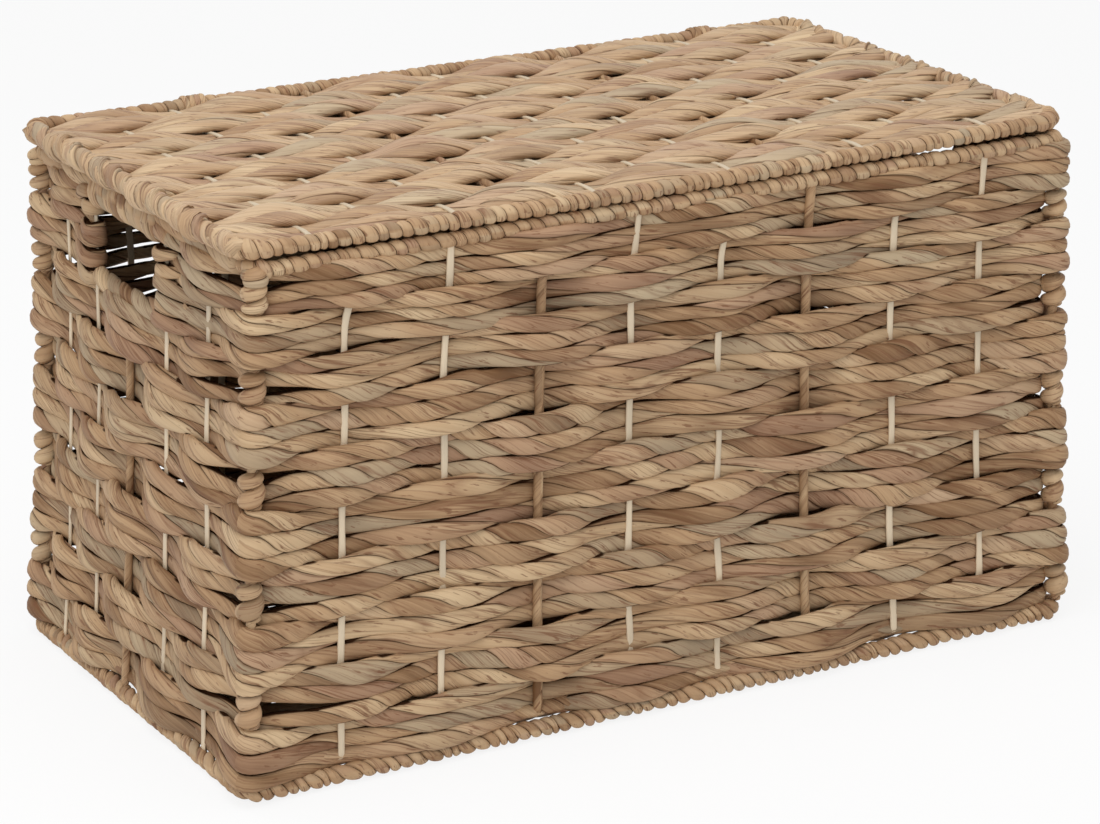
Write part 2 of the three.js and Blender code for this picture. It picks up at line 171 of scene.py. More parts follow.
class WovenBoxSettling(bpy.types.PropertyGroup):
    """How far the hand-made box and lid lie from their even places."""

    top_front_left: corner_shift("top front left", (0.0059, 0.0037, 0.0042))
    top_front_right: corner_shift("top front right", (-0.0069, 0.0058, 0.0051))
    top_back_left: corner_shift("top back left", (0.0080, -0.0018, 0.0020))
    top_back_right: corner_shift("top back right", (-0.0069, -0.0018, 0.0036))
    bottom_front_left: corner_shift("bottom front left", (-0.0096, -0.0061, 0.0))
    bottom_front_right: corner_shift("bottom front right", (0.003, -0.0052, 0.0))
    bottom_back_left: corner_shift("bottom back left", (-0.002, 0.0, 0.0))
    bottom_back_right: corner_shift("bottom back right", (0.0, 0.0, 0.0))
    lid_front_left: corner_shift("lid's front left", (-0.0010, -0.0029, -0.0015))
    lid_front_right: corner_shift("lid's front right", (0.0058, -0.0009, -0.0004))
    lid_back_left: corner_shift("lid's back left", (-0.0003, -0.0008, 0.0016))
    lid_back_right: corner_shift("lid's back right", (-0.0024, 0.0010, -0.0006))
    packing: length_setting("Packing", "How far the middle courses sit above their even places", 0.0135)
    left_push: length_setting("Left push", "How far the middle of the left wall is pushed to the back", 0.021)
    waist: length_setting(
        "Waist", "How far the back left and front right edges are drawn in half way up", 0.0050)
    stake_spread: length_setting(
        "Stake spread", "How far the outer long stakes stand towards the ends of the box", 0.0052)
    lid_droop: length_setting(
        "Lid droop", "How far the middle of the lid's front hangs below its corners", 0.0027)


class WovenBoxBindings(bpy.types.PropertyGroup):
    """Sizes of the strips and of the wound leaf."""

    strip_width: length_setting("Strip width", "Width of a flat strip", 0.0044, min=0.001)
    strip_thickness: length_setting("Strip thickness", "Thickness of a flat strip", 0.0018, min=0.0005)
    wrapped_radius: length_setting("Wrapped radius", "Radius of a leaf-wrapped wall stake", 0.003, min=0.001)
    stake_pitch: length_setting(
        "Stake wrap", "Width of one turn of leaf round a thick stake", 0.022, min=0.002)
    rim_radius: length_setting(
        "Rim radius", "Radius of the leaf wound on the top rim and the lid's rims", 0.0049, min=0.002)
    rim_pitch: length_setting(
        "Top rim wrap", "Width of one turn of leaf round the top rim", 0.0088, min=0.002)
    lid_rim_pitch: length_setting(
        "Lid rim wrap", "Width of one turn of leaf round a lid rim", 0.0075, min=0.002)
    bottom_rim_radius: length_setting(
        "Bottom rim radius", "Radius of the cord wound on the bottom rim", 0.0053, min=0.002)
    bottom_rim_pitch: length_setting(
        "Bottom rim wrap", "Width of one strand of the cord round the bottom rim", 0.0082, min=0.002)
    grip_pitch: length_setting(
        "Grip wrap", "Width of one turn of leaf round a handle grip", 0.0088, min=0.002)


class WovenBoxColours(bpy.types.PropertyGroup):
    """Colours of the leaf, the strips and the floor."""

    pale_leaf: colour_setting("Pale leaf", "Lightest rope colour", (0.71, 0.525, 0.32))
    tan_leaf: colour_setting("Tan leaf", "Main rope colour", (0.50, 0.318, 0.175))
    brown_leaf: colour_setting("Brown leaf", "Darker rope colour", (0.20, 0.10, 0.043))
    # Much darkened, the stain is also the colour of the painted shade in creases and where ropes touch
    stain: colour_setting("Stain", "Reddish brown of the old leaf edges", (0.20, 0.085, 0.04))
    green_leaf: colour_setting("Green leaf", "Grey green of the unripe leaf", (0.44, 0.365, 0.25))
    rose_leaf: colour_setting("Rose leaf", "Pinkish brown of the leaf's inner side", (0.41, 0.24, 0.165))
    strip: colour_setting("Strip", "Cream of the flat strips", (0.86, 0.71, 0.51))
    wire: colour_setting("Wire", "Dull grey of the frame wires", (0.10, 0.095, 0.09))
    floor: colour_setting("Floor", "Colour of the studio floor", (0.94, 0.94, 0.94))


class WovenBoxStage(bpy.types.PropertyGroup):
    """The camera and the studio light."""

    azimuth: angle_setting("Azimuth", "Turn of the camera round the box", -31.084)
    elevation: angle_setting("Elevation", "Angle at which the camera looks down", 19.054)
    roll: angle_setting("Roll", "Turn of the picture about its middle", 0.493)
    distance: length_setting("Distance", "How far the camera stands from its aim", 2.7101, min=0.5)
    aim: FloatVectorProperty(
        name="Aim", description="The point in the middle of the picture",
        default=(-0.0005, 0.0, 0.1464), size=3, subtype="XYZ", unit="LENGTH")
    lens: FloatProperty(
        name="Lens", description="Focal length on the sensor, in millimetres", default=137.45, min=10)
    daylight: FloatProperty(
        name="Daylight", description="Strength of the even white light all round", default=0.55, min=0)


class WovenBoxSettings(bpy.types.PropertyGroup):
    """All that a user would change."""

    ropes: PointerProperty(type=WovenBoxRopes)
    settling: PointerProperty(type=WovenBoxSettling)
    bindings: PointerProperty(type=WovenBoxBindings)
    colours: PointerProperty(type=WovenBoxColours)
    stage: PointerProperty(type=WovenBoxStage)


def settings():
    return bpy.context.scene.woven_box


# Paths

# The step between the points of a path that is still to be shaped
FINE = 0.001


def evenly_spaced(points, spacing, closed):
    """The same line with its points at even distances: each column interpolated over the distance
    travelled. Returns the points, their distances and the whole length. Columns past the third
    ride along: a rope's fourth and fifth are its own width and depth as shares of the usual, and the
    sixth is how closely it lies under the rope above, which sets how much painted shade its top gets."""
    if closed:
        points = np.vstack([points, points[:1]])
    gaps = np.linalg.norm(np.diff(points[:, :3], axis=0), axis=1)
    travelled = np.concatenate([[0.0], np.cumsum(gaps)])
    length = travelled[-1]
    count = max(int(math.ceil(length / spacing)), 4)
    marks = np.linspace(0.0, length, count, endpoint=not closed)
    even = np.column_stack([np.interp(marks, travelled, column) for column in points.T])
    return even, marks, length


def eased(places, knots, values):
    """Values at the knots joined by half cosine waves, level at each knot."""
    here = np.clip(np.searchsorted(knots, places, side="right") - 1, 0, len(knots) - 2)
    part = np.clip((places - knots[here]) / (knots[here + 1] - knots[here]), 0.0, 1.0)
    return values[here] + (values[here + 1] - values[here]) * (1 - np.cos(math.pi * part)) / 2


WAVE_COUNT = 5


def drift(marks, length, wavelength, draw):
    """A smooth random wander: a few sine waves of whole cycles, so that a closed line meets
    itself, with random phases and cycles near the wanted wavelength."""
    cycles = np.maximum(1.0, np.round(length / wavelength * draw.uniform(0.5, 1.6, WAVE_COUNT)))
    phases = draw.uniform(0.0, TAU, WAVE_COUNT)
    waves = np.sin(TAU * np.outer(marks / length, cycles) + phases)
    return waves.sum(axis=1) / math.sqrt(WAVE_COUNT / 2)


def bump(places, centre, reach):
    """One raised cosine, 1 at the centre and 0 from the reach on."""
    return (1 + np.cos(math.pi * np.clip((places - centre) / reach, -1.0, 1.0))) / 2


def smoothed(values, reach):
    """Each value averaged with those up to a reach of fine steps away on both sides."""
    window = int(2 * reach / FINE) + 1
    padded = np.pad(values, window // 2, mode="edge")
    return np.convolve(padded, np.ones(window) / window, mode="valid")


def filleted(corners, bend):
    """A line through the corners with each inner corner cut by a parabola that starts and ends one
    bend away from it, sampled finely."""
    corners = np.array(corners, float)
    parts = [corners[:1]]
    for before, corner, after in zip(corners[:-2], corners[1:-1], corners[2:]):
        start = corner + bend * (before - corner) / np.linalg.norm(before - corner)
        end = corner + bend * (after - corner) / np.linalg.norm(after - corner)
        part = np.linspace(0.0, 1.0, 12)[:, None]
        parts.append((1 - part) ** 2 * start + 2 * part * (1 - part) * corner + part ** 2 * end)
    parts.append(corners[-1:])
    return np.vstack(parts)


def rim_loop(half_length, half_depth, bend, z):
    """A rectangle with rounded corners, counter-clockwise, from the middle of the back."""
    turn = np.linspace(0.0, math.pi / 2, 16)
    parts = [np.array([[0.0, half_depth]])]
    for number, (x, y) in enumerate([(-1, 1), (-1, -1), (1, -1), (1, 1)]):
        angle = math.pi / 2 * (number + 1) + turn
        parts.append(np.column_stack([x * (half_length - bend) + bend * np.cos(angle),
                                      y * (half_depth - bend) + bend * np.sin(angle)]))
    flat = np.vstack(parts)
    return np.column_stack([flat, np.full(len(flat), z)])


def over_under(lane_count, knot_count):
    """1 where a lane passes over a knot and -1 where it passes under, by turns both ways."""
    return np.where((np.arange(knot_count)[None, :] + np.arange(lane_count)[:, None]) % 2 == 0, 1.0, -1.0)


def to_and_fro(lanes, knots, lifts, overlap):
    """A rope's way to and fro. Along each lane it rises and dips over the knots in half cosine waves;
    at a lane's end it turns half round the last knot, and drifts over to the next lane. Its two ends
    are turned under."""
    parts = []
    turn = np.linspace(0.0, math.pi, 26)[1:-1]
    last = len(lanes) - 1
    for number, lane in enumerate(lanes):
        x = np.arange(knots[0], knots[-1], FINE)
        z = eased(x, knots, lifts[number])
        run = np.column_stack([x, np.full(len(x), lane), z])
        onward = number % 2 == 0
        if not onward:
            run = run[::-1]
        start, end = (knots[0], knots[-1]) if onward else (knots[-1], knots[0])
        rise_in, rise_out = run[0, 2], run[-1, 2]
        way = 1.0 if onward else -1.0
        if number == 0:
            parts.append(np.column_stack([start - way * abs(rise_in) * np.sin(turn),
                                          np.full(len(turn), lane), -rise_in * np.cos(turn)]))
        parts.append(run)
        follow = lanes[number + 1] if number < last else lane
        parts.append(np.column_stack([end + way * abs(rise_out) * np.sin(turn),
                                      lane + (follow - lane) * turn / math.pi, rise_out * np.cos(turn)]))
    path, _, _ = evenly_spaced(np.vstack(parts), FINE, False)
    path[:, 1] = smoothed(path[:, 1], overlap)
    return path


# Surfaces

# The middle of the range that a piece's tone and hue are read in
MIDDLE = 0.5

# The strand map starts anywhere in these ranges, so that no two pieces are alike
MAP_ACROSS = 4.0
MAP_ALONG = 40.0


def section_axes(points, side, closed):
    """For each point: the outward axis, square to the path and to the side axis, and the side
    axis squared up to the path."""
    if closed:
        along = np.roll(points, -1, axis=0) - np.roll(points, 1, axis=0)
    else:
        along = np.gradient(points, axis=0)
    along /= np.linalg.norm(along, axis=1, keepdims=True)
    out = np.cross(along, side)
    out /= np.linalg.norm(out, axis=1, keepdims=True)
    return out, np.cross(out, along)


def carried(points, out, side_axis, reach_out, reach_side):
    """Points that lie so far from the path's points along the outward axis and along the side axis."""
    return points + out * reach_out[..., None] + side_axis * reach_side[..., None]


def grid(points, closed, tone, hue, crease_painted_shade, strand, touch_painted_shade=None, shift=0, flip=False):
    """A closed-section surface, as whole arrays: points n by m, and its looks at each point. Its looks
    include painted shade in its creases, and painted shade where it lies against its neighbour: 1 there
    and less away from there. The strand map is n + 1 by m + 1, so that it runs on over the joins. The
    last column joins the first so many rows further on as the shift says, and a flipped grid's columns run
    the other way round."""
    if touch_painted_shade is None:
        touch_painted_shade = np.zeros(points.shape[:2])
    return {"points": points, "closed": closed, "tone": tone, "hue": hue, "crease_painted_shade": crease_painted_shade,
            "touch_painted_shade": touch_painted_shade, "strand": strand, "shift": shift, "flip": flip}


def pressed(wave, roundness):
    """A sine or cosine whose size is raised to a power, which squares the circle it draws."""
    return np.sign(wave) * np.abs(wave) ** roundness


PLIES = 2

# Across a ply, from its edge to the next ply's: places, the section's swell there and the painted shade in
# the crease there
PLY_PLACES = np.array([0.0, 0.02, 0.06, 0.16, 0.30, 0.45, 0.60, 0.75, 0.88, 0.97])
PLY_SWELL = np.array([0.80, 0.94, 1.00, 1.04, 1.06, 1.05, 1.03, 0.99, 0.92, 0.85])
PLY_CREASE_SHADE = np.array([1.0, 0.15, 0.0, 0.0, 0.0, 0.0, 0.0, 0.0, 0.0, 0.2])

# How a rope wanders: by what share of the usual, and over about what length
TWIST_WANDER, TWIST_WAVE = 0.32, 0.28
EDGE_WANDER, EDGE_WAVE = 0.07, 0.12
PLY_WANDER, PLY_WAVE = 0.05, 0.07
GIRTH_WANDER, GIRTH_WAVE = 0.035, 0.09
SLOWEST_TWIST = 0.3

# The faces that a ply shows: how far their hues spread, the limit of both spreads, and an end's taper
FACE_HUE = 0.3
FACE_LIMIT = 1.5
END_TAPER = 0.55


def rope(path, closed, side, half_out, half_side, pitch, spacing, draw, hand=-1.0,
         crease_depth=1.0, uneven=1.0, roundness=1.0, variety=0.2, packed=False):
    """A laid rope. Every column keeps its place on its ply, and turns round the path once in
    each pitch. The section is an ellipse, pressed towards a box where the roundness is under
    one, whose radius rises at each ply's edge and falls towards the next ply, where the crease gets
    painted shade. Pitch and thickness wander along the rope, and so does each ply's share of it. A ply
    changes colour where it is hidden, at the back or underneath, so that each face it shows has a tone
    and a hue of its own. A packed rope gets painted shade where it touches its neighbours, at both ends of
    the side axis."""
    points, marks, length = evenly_spaced(path, spacing, closed)
    squeeze = np.ones((len(marks), 3))
    squeeze[:, :points.shape[1] - 3] = points[:, 3:]
    points = points[:, :3]
    out, side_axis = section_axes(points, side, closed)
    quick_turn = 1 + TWIST_WANDER * uneven * drift(marks, length, TWIST_WAVE, draw)
    quick_turn = np.maximum(quick_turn, SLOWEST_TWIST)
    turns = np.concatenate([[0.0], np.cumsum(quick_turn[:-1])])
    whole = turns[-1] + quick_turn[-1]
    wanted = length / pitch
    if closed:
        wanted = round(wanted)
    angle = hand * TAU * (turns / whole * wanted + draw.uniform())
    each = np.arange(PLIES)
    ply = np.repeat(each, len(PLY_PLACES))
    edges = (np.arange(PLIES + 1) / PLIES)[None, :] * np.ones((len(marks), 1))
    edges[:, 1:-1] += EDGE_WANDER * uneven * np.column_stack(
        [drift(marks, length, EDGE_WAVE, draw) for _ in range(PLIES - 1)]) / PLIES
    places = edges[:, ply] + np.diff(edges, axis=1)[:, ply] * np.tile(PLY_PLACES, PLIES)
    swell = 1 + crease_depth * (np.tile(PLY_SWELL, PLIES) - 1)
    ply_size = np.column_stack([drift(marks, length, PLY_WAVE, draw) for _ in each])
    thick = 1 + GIRTH_WANDER * uneven * drift(marks, length, GIRTH_WAVE, draw)
    radius = swell * thick[:, None] * (1 + PLY_WANDER * uneven * ply_size[:, ply])
    turn = angle[:, None] + TAU * places
    surface = carried(points[:, None, :], out[:, None, :], side_axis[:, None, :],
                      half_out * squeeze[:, 1:2] * radius * pressed(np.cos(turn), roundness),
                      half_side * squeeze[:, :1] * radius * pressed(np.sin(turn), roundness))
    if not closed:
        for end in (0, -1):
            surface[end] = points[end] + (surface[end] - points[end]) * END_TAPER
    hidden = np.where(out[:, 2] < -0.5, 0.0, math.pi)
    face = np.floor((angle[:, None] - hidden[:, None]) / TAU + (each + 0.5) / PLIES).astype(int)
    face = np.mod(face, int(wanted)) if closed else face - face.min()
    face_looks = draw.normal(size=(2, PLIES, face.max() + 1))
    face_tone, face_hue = np.clip(face_looks, -FACE_LIMIT, FACE_LIMIT)
    tones = MIDDLE + variety * face_tone[each, face] + PLY_WANDER * ply_size
    hues = MIDDLE + FACE_HUE * face_hue[each, face]
    girth = TAU * (half_out + half_side) / 2
    strand = np.empty((len(marks) + 1, len(ply) + 1, 2))
    strand[:, :, 1] = np.append(marks, length)[:, None] + draw.uniform(0.0, MAP_ALONG)
    strand[:-1, :-1, 0] = places * girth
    strand[:-1, -1, 0] = girth
    strand[-1, :, 0] = strand[0, :, 0]
    strand[:, :, 0] += draw.uniform(0.0, MAP_ACROSS)
    # Painted shade in the crease between plies
    crease_painted_shade = np.broadcast_to(np.tile(PLY_CREASE_SHADE, PLIES), radius.shape)
    # Painted shade where a packed rope touches its neighbours, less on its top where it lies less closely
    # under the rope above
    closeness = np.where(np.sin(turn) > 0, squeeze[:, 2:], 1.0)
    touch_painted_shade = closeness * np.abs(np.sin(turn)) if packed else None
    return grid(surface, closed, tones[:, ply], hues[:, ply], crease_painted_shade, strand, touch_painted_shade)


# Across a turn of wound leaf, from its edge to the next turn's: places, swell and the painted shade in the
# groove between turns
WRAP_PLACES = np.array([0.0, 0.04, 0.12, 0.26, 0.43, 0.60, 0.76, 0.89, 0.97])
WRAP_SWELL = np.array([0.78, 0.87, 0.95, 1.01, 1.045, 1.045, 1.005, 0.93, 0.84])
WRAP_CREASE_SHADE = np.array([1.0, 0.1, 0.0, 0.0, 0.0, 0.0, 0.0, 0.0, 0.15])

# How far the turns differ from each other, and the share of a radius over which an end is rounded off
NARROWEST_TURN, WIDEST_TURN = 0.5, 1.6
TURN_SIZE, TURN_LUMP, TURN_TONE, TURN_HUE = 0.035, 0.02, 0.15, 0.2
END_ROUNDING = 0.5
BLUNT_END = 0.02


def wound(path, closed, side, radius, pitch, columns, draw, groove=1.0, uneven=0.14, tall=1.0, starts=1):
    """Leaf wound round a path. The turns are a helix, or several side by side: a point at angle t
    of turn w lies at turn w + starts * t / full circle along the path, and the radius swells over
    each turn and drops in the groove between turns. The section is so many times as tall, along
    the side axis, as it is deep. Widths, thickness and colour change from turn to turn. A fourth
    column of the path is its thickness as a share of the usual. Open ends are rounded off."""
    points, marks, length = evenly_spaced(path, FINE, closed)
    share = points[:, 3] if points.shape[1] > 3 else np.ones(len(marks))
    points = points[:, :3]
    out, side_axis = section_axes(points, side, closed)
    turns = max(int(round(length / pitch)), 2)
    widths = np.clip(1 + uneven * draw.normal(size=turns), NARROWEST_TURN, WIDEST_TURN)
    edges = np.concatenate([[0.0], np.cumsum(widths)]) / widths.sum() * length
    rows = len(WRAP_PLACES)
    which = np.arange(turns * rows) if closed else np.arange(-starts * rows, turns * rows + 1)
    turn = which // rows
    part = WRAP_PLACES[which % rows]
    angle = TAU * np.arange(columns) / columns
    wrap_at = turn[:, None] + part[:, None] + starts * np.arange(columns) / columns
    if closed:
        wrap_at = np.mod(wrap_at, turns)
        marks = np.append(marks, length)
        share = np.append(share, share[0])
        points, out, side_axis = [np.vstack([values, values[:1]]) for values in (points, out, side_axis)]
    place = np.interp(wrap_at, np.arange(turns + 1), edges)
    turn_size = 1 + TURN_SIZE * draw.normal(size=turns + 1)
    lump = 1 + TURN_LUMP * draw.normal(size=(turns + 1, 3)) @ np.array(
        [np.cos(angle), np.sin(angle), np.cos(2 * angle)])
    number = np.mod(turn, turns)
    swell = 1 + groove * (WRAP_SWELL[which % rows] - 1)
    size = radius * swell[:, None] * turn_size[number][:, None] * lump[number]
    size = size * np.interp(place, marks, share)
    if not closed:
        from_end = np.clip(np.minimum(place, length - place) / (END_ROUNDING * radius), 0.0, 1.0)
        size = size * np.sqrt(np.maximum(1 - (1 - from_end) ** 2, BLUNT_END))

    def at_place(values):
        columns_there = [np.interp(place.ravel(), marks, column) for column in values.T]
        return np.stack(columns_there, axis=-1).reshape(place.shape + (3,))

    surface = carried(at_place(points), at_place(out), at_place(side_axis),
                      size * np.cos(angle), -tall * size * np.sin(angle))
    tone = MIDDLE + TURN_TONE * draw.normal(size=turns + 1)[number]
    hue = MIDDLE + TURN_HUE * draw.normal(size=turns + 1)[number]
    # Painted shade in the grooves between turns
    tone, hue, crease_painted_shade = [np.broadcast_to(values[:, None], place.shape)
                         for values in (tone, hue, WRAP_CREASE_SHADE[which % rows])]
    strand = np.empty((len(which) + 1, columns + 1, 2))
    strand[:, :, 0] = (np.append(which, which[-1] + 1) / rows * pitch)[:, None]
    strand[:, :, 1] = TAU * radius * (np.arange(columns + 1) / columns
                                      + np.append(turn, turn[-1])[:, None] / starts)
    strand[:, :, 1] += draw.uniform(0.0, MAP_ALONG)
    return grid(surface, closed, tone, hue, crease_painted_shade, strand, shift=starts * rows, flip=True)


STRIP_POINTS = 8
STRIP_ROUNDNESS = 0.6
STRIP_SPACING = 0.003

# How a strip wanders: how far to the side, in width and in tone, and over about what length
SWAY, SWAY_WAVE = 0.0006, 0.12
WIDTH_WANDER, WIDTH_WAVE = 0.06, 0.06
TONE_WANDER, TONE_WAVE = 0.12, 0.08


def strip(path, side, width, thickness, draw, tone):
    """A flat strip with rounded edges: a flattened ring of points carried along a path, that sways a
    little from side to side."""
    points, marks, length = evenly_spaced(path, STRIP_SPACING, False)
    out, side_axis = section_axes(points, side, False)
    angle = TAU * (np.arange(STRIP_POINTS) + 0.5) / STRIP_POINTS
    across = pressed(np.sin(angle), STRIP_ROUNDNESS)
    through = thickness / 2 * pressed(np.cos(angle), STRIP_ROUNDNESS)
    sway = SWAY * drift(marks, length, SWAY_WAVE, draw)
    broad = width / 2 * (1 + WIDTH_WANDER * drift(marks, length, WIDTH_WAVE, draw))
    reach = sway[:, None] + broad[:, None] * across
    surface = carried(points[:, None, :], out[:, None, :], side_axis[:, None, :], through[None, :], reach)
    shade = tone + TONE_WANDER * drift(marks, length, TONE_WAVE, draw)
    strand = np.empty((len(marks) + 1, STRIP_POINTS + 1, 2))
    strand[:, :, 0] = np.append(across, across[0]) * width / 2 + draw.uniform(0.0, MAP_ACROSS)
    strand[:, :, 1] = np.append(marks, length)[:, None] + draw.uniform(0.0, MAP_ALONG)
    flat = np.ones(surface.shape[:2])
    return grid(surface, False, shade[:, None] * flat, MIDDLE * flat, 0.0 * flat, strand)


# Meshes

def grid_faces(made):
    """Corner numbers of a grid's quads, n rows by m columns, with the rows and columns they start at."""
    rows, columns = made["points"].shape[:2]
    steps = rows if made["closed"] else rows - 1
    row = np.arange(steps)[:, None]
    column = np.arange(columns)[None, :]
    last = column == columns - 1
    never = np.zeros_like(last)

    def vertex(at_row, at_column, over):
        moved = at_row + np.where(over, made["shift"], 0)
        moved = np.mod(moved, rows) if made["closed"] else np.minimum(moved, rows - 1)
        return moved * columns + np.where(over, 0, at_column)

    faces = np.stack([
        vertex(row, column, never), vertex(row + 1, column, never),
        vertex(row + 1, column + 1, last), vertex(row, column + 1, last)], axis=-1)
    return faces, row, column


def build_mesh(name, grids):
    """One mesh of several grids: their points, quads, end caps, looks and maps joined end to end.
    The baking map cuts the long surfaces into rows of a square."""
    vertices = np.concatenate([made["points"].reshape(-1, 3) for made in grids])
    quads = []
    strands = []
    caps = []
    cap_strands = []
    start = 0
    for made in grids:
        rows, columns = made["points"].shape[:2]
        faces, row, column = grid_faces(made)
        strand = made["strand"]
        corner = np.stack([strand[row, column], strand[row + 1, column],
                           strand[row + 1, column + 1], strand[row, column + 1]], axis=2)
        if made["flip"]:
            faces = faces[:, :, ::-1]
            corner = corner[:, :, ::-1]
        quads.append(faces.reshape(-1, 4) + start)
        strands.append(corner.reshape(-1, 2))
        if not made["closed"]:
            first = np.arange(columns)
            final = first + (rows - 1) * columns
            pair = [first[::-1], final] if made["flip"] else [first, final[::-1]]
            caps.extend(ring + start for ring in pair)
            cap_strands.extend(strand[ring // columns, ring % columns] for ring in pair)
        start += rows * columns
    quads = np.concatenate(quads)
    loops = np.concatenate([quads.ravel()] + caps)
    totals = np.concatenate([np.full(len(quads), 4)] + [np.full(1, len(cap)) for cap in caps])
    starts = np.concatenate([[0], np.cumsum(totals)[:-1]])
    mesh = bpy.data.meshes.new(name)
    mesh.vertices.add(len(vertices))
    mesh.vertices.foreach_set("co", vertices.astype(np.float32).ravel())
    mesh.loops.add(len(loops))
    mesh.loops.foreach_set("vertex_index", loops.astype(np.int32))
    mesh.polygons.add(len(totals))
    mesh.polygons.foreach_set("loop_start", starts.astype(np.int32))
    mesh.polygons.foreach_set("loop_total", totals.astype(np.int32))
    mesh.update(calc_edges=True)
    mesh.polygons.foreach_set("use_smooth", np.ones(len(totals), bool))
    maps = {"Strand": np.concatenate(strands + cap_strands), "OFBake": bake_map(grids, len(loops))}
    for map_name, places in maps.items():
        mesh.uv_layers.new(name=map_name).data.foreach_set("uv", places.astype(np.float32).ravel())
    for look in ("tone", "hue", "crease_painted_shade", "touch_painted_shade"):
        values = np.concatenate([np.ascontiguousarray(made[look]).ravel() for made in grids])
        layer = mesh.attributes.new(look, "FLOAT", "POINT")
        layer.data.foreach_set("value", values.astype(np.float32))
    return mesh


# The shares of a baking row that its quads fill, along it and across it
ROW_FILL = 0.999
ROW_MARGIN = 0.03


def bake_map(grids, loop_count):
    """Each grid is a ribbon: its quads go into rows of a square, one row under the other, with a
    small margin. The end caps are left in the first corner."""
    columns = max(made["points"].shape[1] for made in grids)
    steps = [made["points"].shape[0] - (0 if made["closed"] else 1) for made in grids]
    total = sum(steps)
    in_row = max(int(math.sqrt(total * columns / 2)), 1)
    row_count = math.ceil(total / in_row)
    maps = []
    before = 0
    for made, count in zip(grids, steps):
        across = made["points"].shape[1]
        place = before + np.arange(count)
        left = (place % in_row) / in_row
        edge = (np.arange(across + 1) / across * (1 - 2 * ROW_MARGIN) + ROW_MARGIN) / row_count
        base = (place // in_row) / row_count
        low = base[:, None] + edge[None, :-1]
        high = base[:, None] + edge[None, 1:]
        u0 = np.broadcast_to(left[:, None], low.shape)
        u1 = u0 + ROW_FILL / in_row
        corner = np.stack([np.stack([u0, low], -1), np.stack([u1, low], -1),
                           np.stack([u1, high], -1), np.stack([u0, high], -1)], axis=2)
        if made["flip"]:
            corner = corner[:, :, ::-1]
        maps.append(corner.reshape(-1, 2))
        before += count
    filled = np.concatenate(maps)
    return np.concatenate([filled, np.zeros((loop_count - len(filled), 2))])


# Settling

# The powers of the courses' rise, and what brings the two bumps' peaks to about one
RISE_POWER, FALL_POWER = 1.5, 2.8
PACKING_PEAK = 16.1
SPREAD_PEAK = 8.9

# Where the left wall starts, as a share of the half length, over how much it takes hold, and how much of
# the courses' rise its middle loses
LEFT_WALL_FROM, LEFT_WALL_BLEND = 0.8, 0.15
LEFT_WALL_CALM = 0.9


def spread(corners, along, forward):
    """Shifts of the back left, back right, front left and front right corner, spread between them by
    how far along and how far forward a point lies."""
    back_left, back_right, front_left, front_right = [np.array(corner) for corner in corners]
    along, forward = along[..., None], forward[..., None]
    at_back = back_left * (1 - along) + back_right * along
    at_front = front_left * (1 - along) + front_right * along
    return at_back * (1 - forward) + at_front * forward


def settled_box(points):
    """Points of the box, moved as its weave has settled. Each corner has a shift of its own, and the back
    left and front right edges are drawn in half way up. Points between the ends move towards them by a
    bump over the way u from the middle, u to the power 5 times (1 - u squared), so the outer long stakes
    move most. The points rise by a bump over the way t down from the top rim, t to the power 1.5 times
    (1 - t) to the power 2.8, so the upper courses are the tighter ones, but hardly in the middle of the
    left wall, which is pushed to the back."""
    settling = settings().settling
    down = np.clip((TOP_RIM_Z - points[..., 2]) / (TOP_RIM_Z - BOTTOM_RIM_Z), 0.0, 1.0)
    forward = np.clip(0.5 - points[..., 1] / (2 * HALF_DEPTH), 0.0, 1.0)
    along = np.clip(0.5 + points[..., 0] / (2 * HALF_LENGTH), 0.0, 1.0)
    top = spread((settling.top_back_left, settling.top_back_right,
                  settling.top_front_left, settling.top_front_right), along, forward)
    bottom = spread((settling.bottom_back_left, settling.bottom_back_right,
                     settling.bottom_front_left, settling.bottom_front_right), along, forward)
    moved = points + top * (1 - down)[..., None] + bottom * down[..., None]
    drawn_in = (1 - along) * (1 - forward) - along * forward
    moved[..., 0] += settling.waist * 4 * down * (1 - down) * drawn_in
    sideways = 2 * along - 1
    moved[..., 0] += settling.stake_spread * SPREAD_PEAK * sideways ** 5 * (1 - sideways ** 2)
    in_left_wall = np.clip((-points[..., 0] / HALF_LENGTH - LEFT_WALL_FROM) / LEFT_WALL_BLEND, 0.0, 1.0)
    in_middle = in_left_wall * 4 * forward * (1 - forward)
    moved[..., 1] += settling.left_push * in_middle
    rise = PACKING_PEAK * down ** RISE_POWER * (1 - down) ** FALL_POWER
    moved[..., 2] += settling.packing * (1 - LEFT_WALL_CALM * in_middle) * rise
    return moved


def settled_lid(points):
    """Points of the lid, moved as it lies: each corner has a shift of its own, and the middle of the
    front hangs down."""
    settling = settings().settling
    along = (points[..., 0] - LID_LEFT) / (LID_RIGHT - LID_LEFT)
    forward = (LID_BACK - points[..., 1]) / (LID_BACK - LID_FRONT)
    moved = points + spread((settling.lid_back_left, settling.lid_back_right,
                             settling.lid_front_left, settling.lid_front_right), along, forward)
    moved[..., 2] -= settling.lid_droop * 4 * along * (1 - along) * forward
    return moved


def settled_hinge(points):
    """Points of a lashing: low down they move with the box, and up at the lid's rim with the lid."""
    up = np.clip((points[..., 2:] - TOP_RIM_Z) / (LID_Z - TOP_RIM_Z), 0.0, 1.0)
    return settled_box(points) * (1 - up) + settled_lid(points) * up


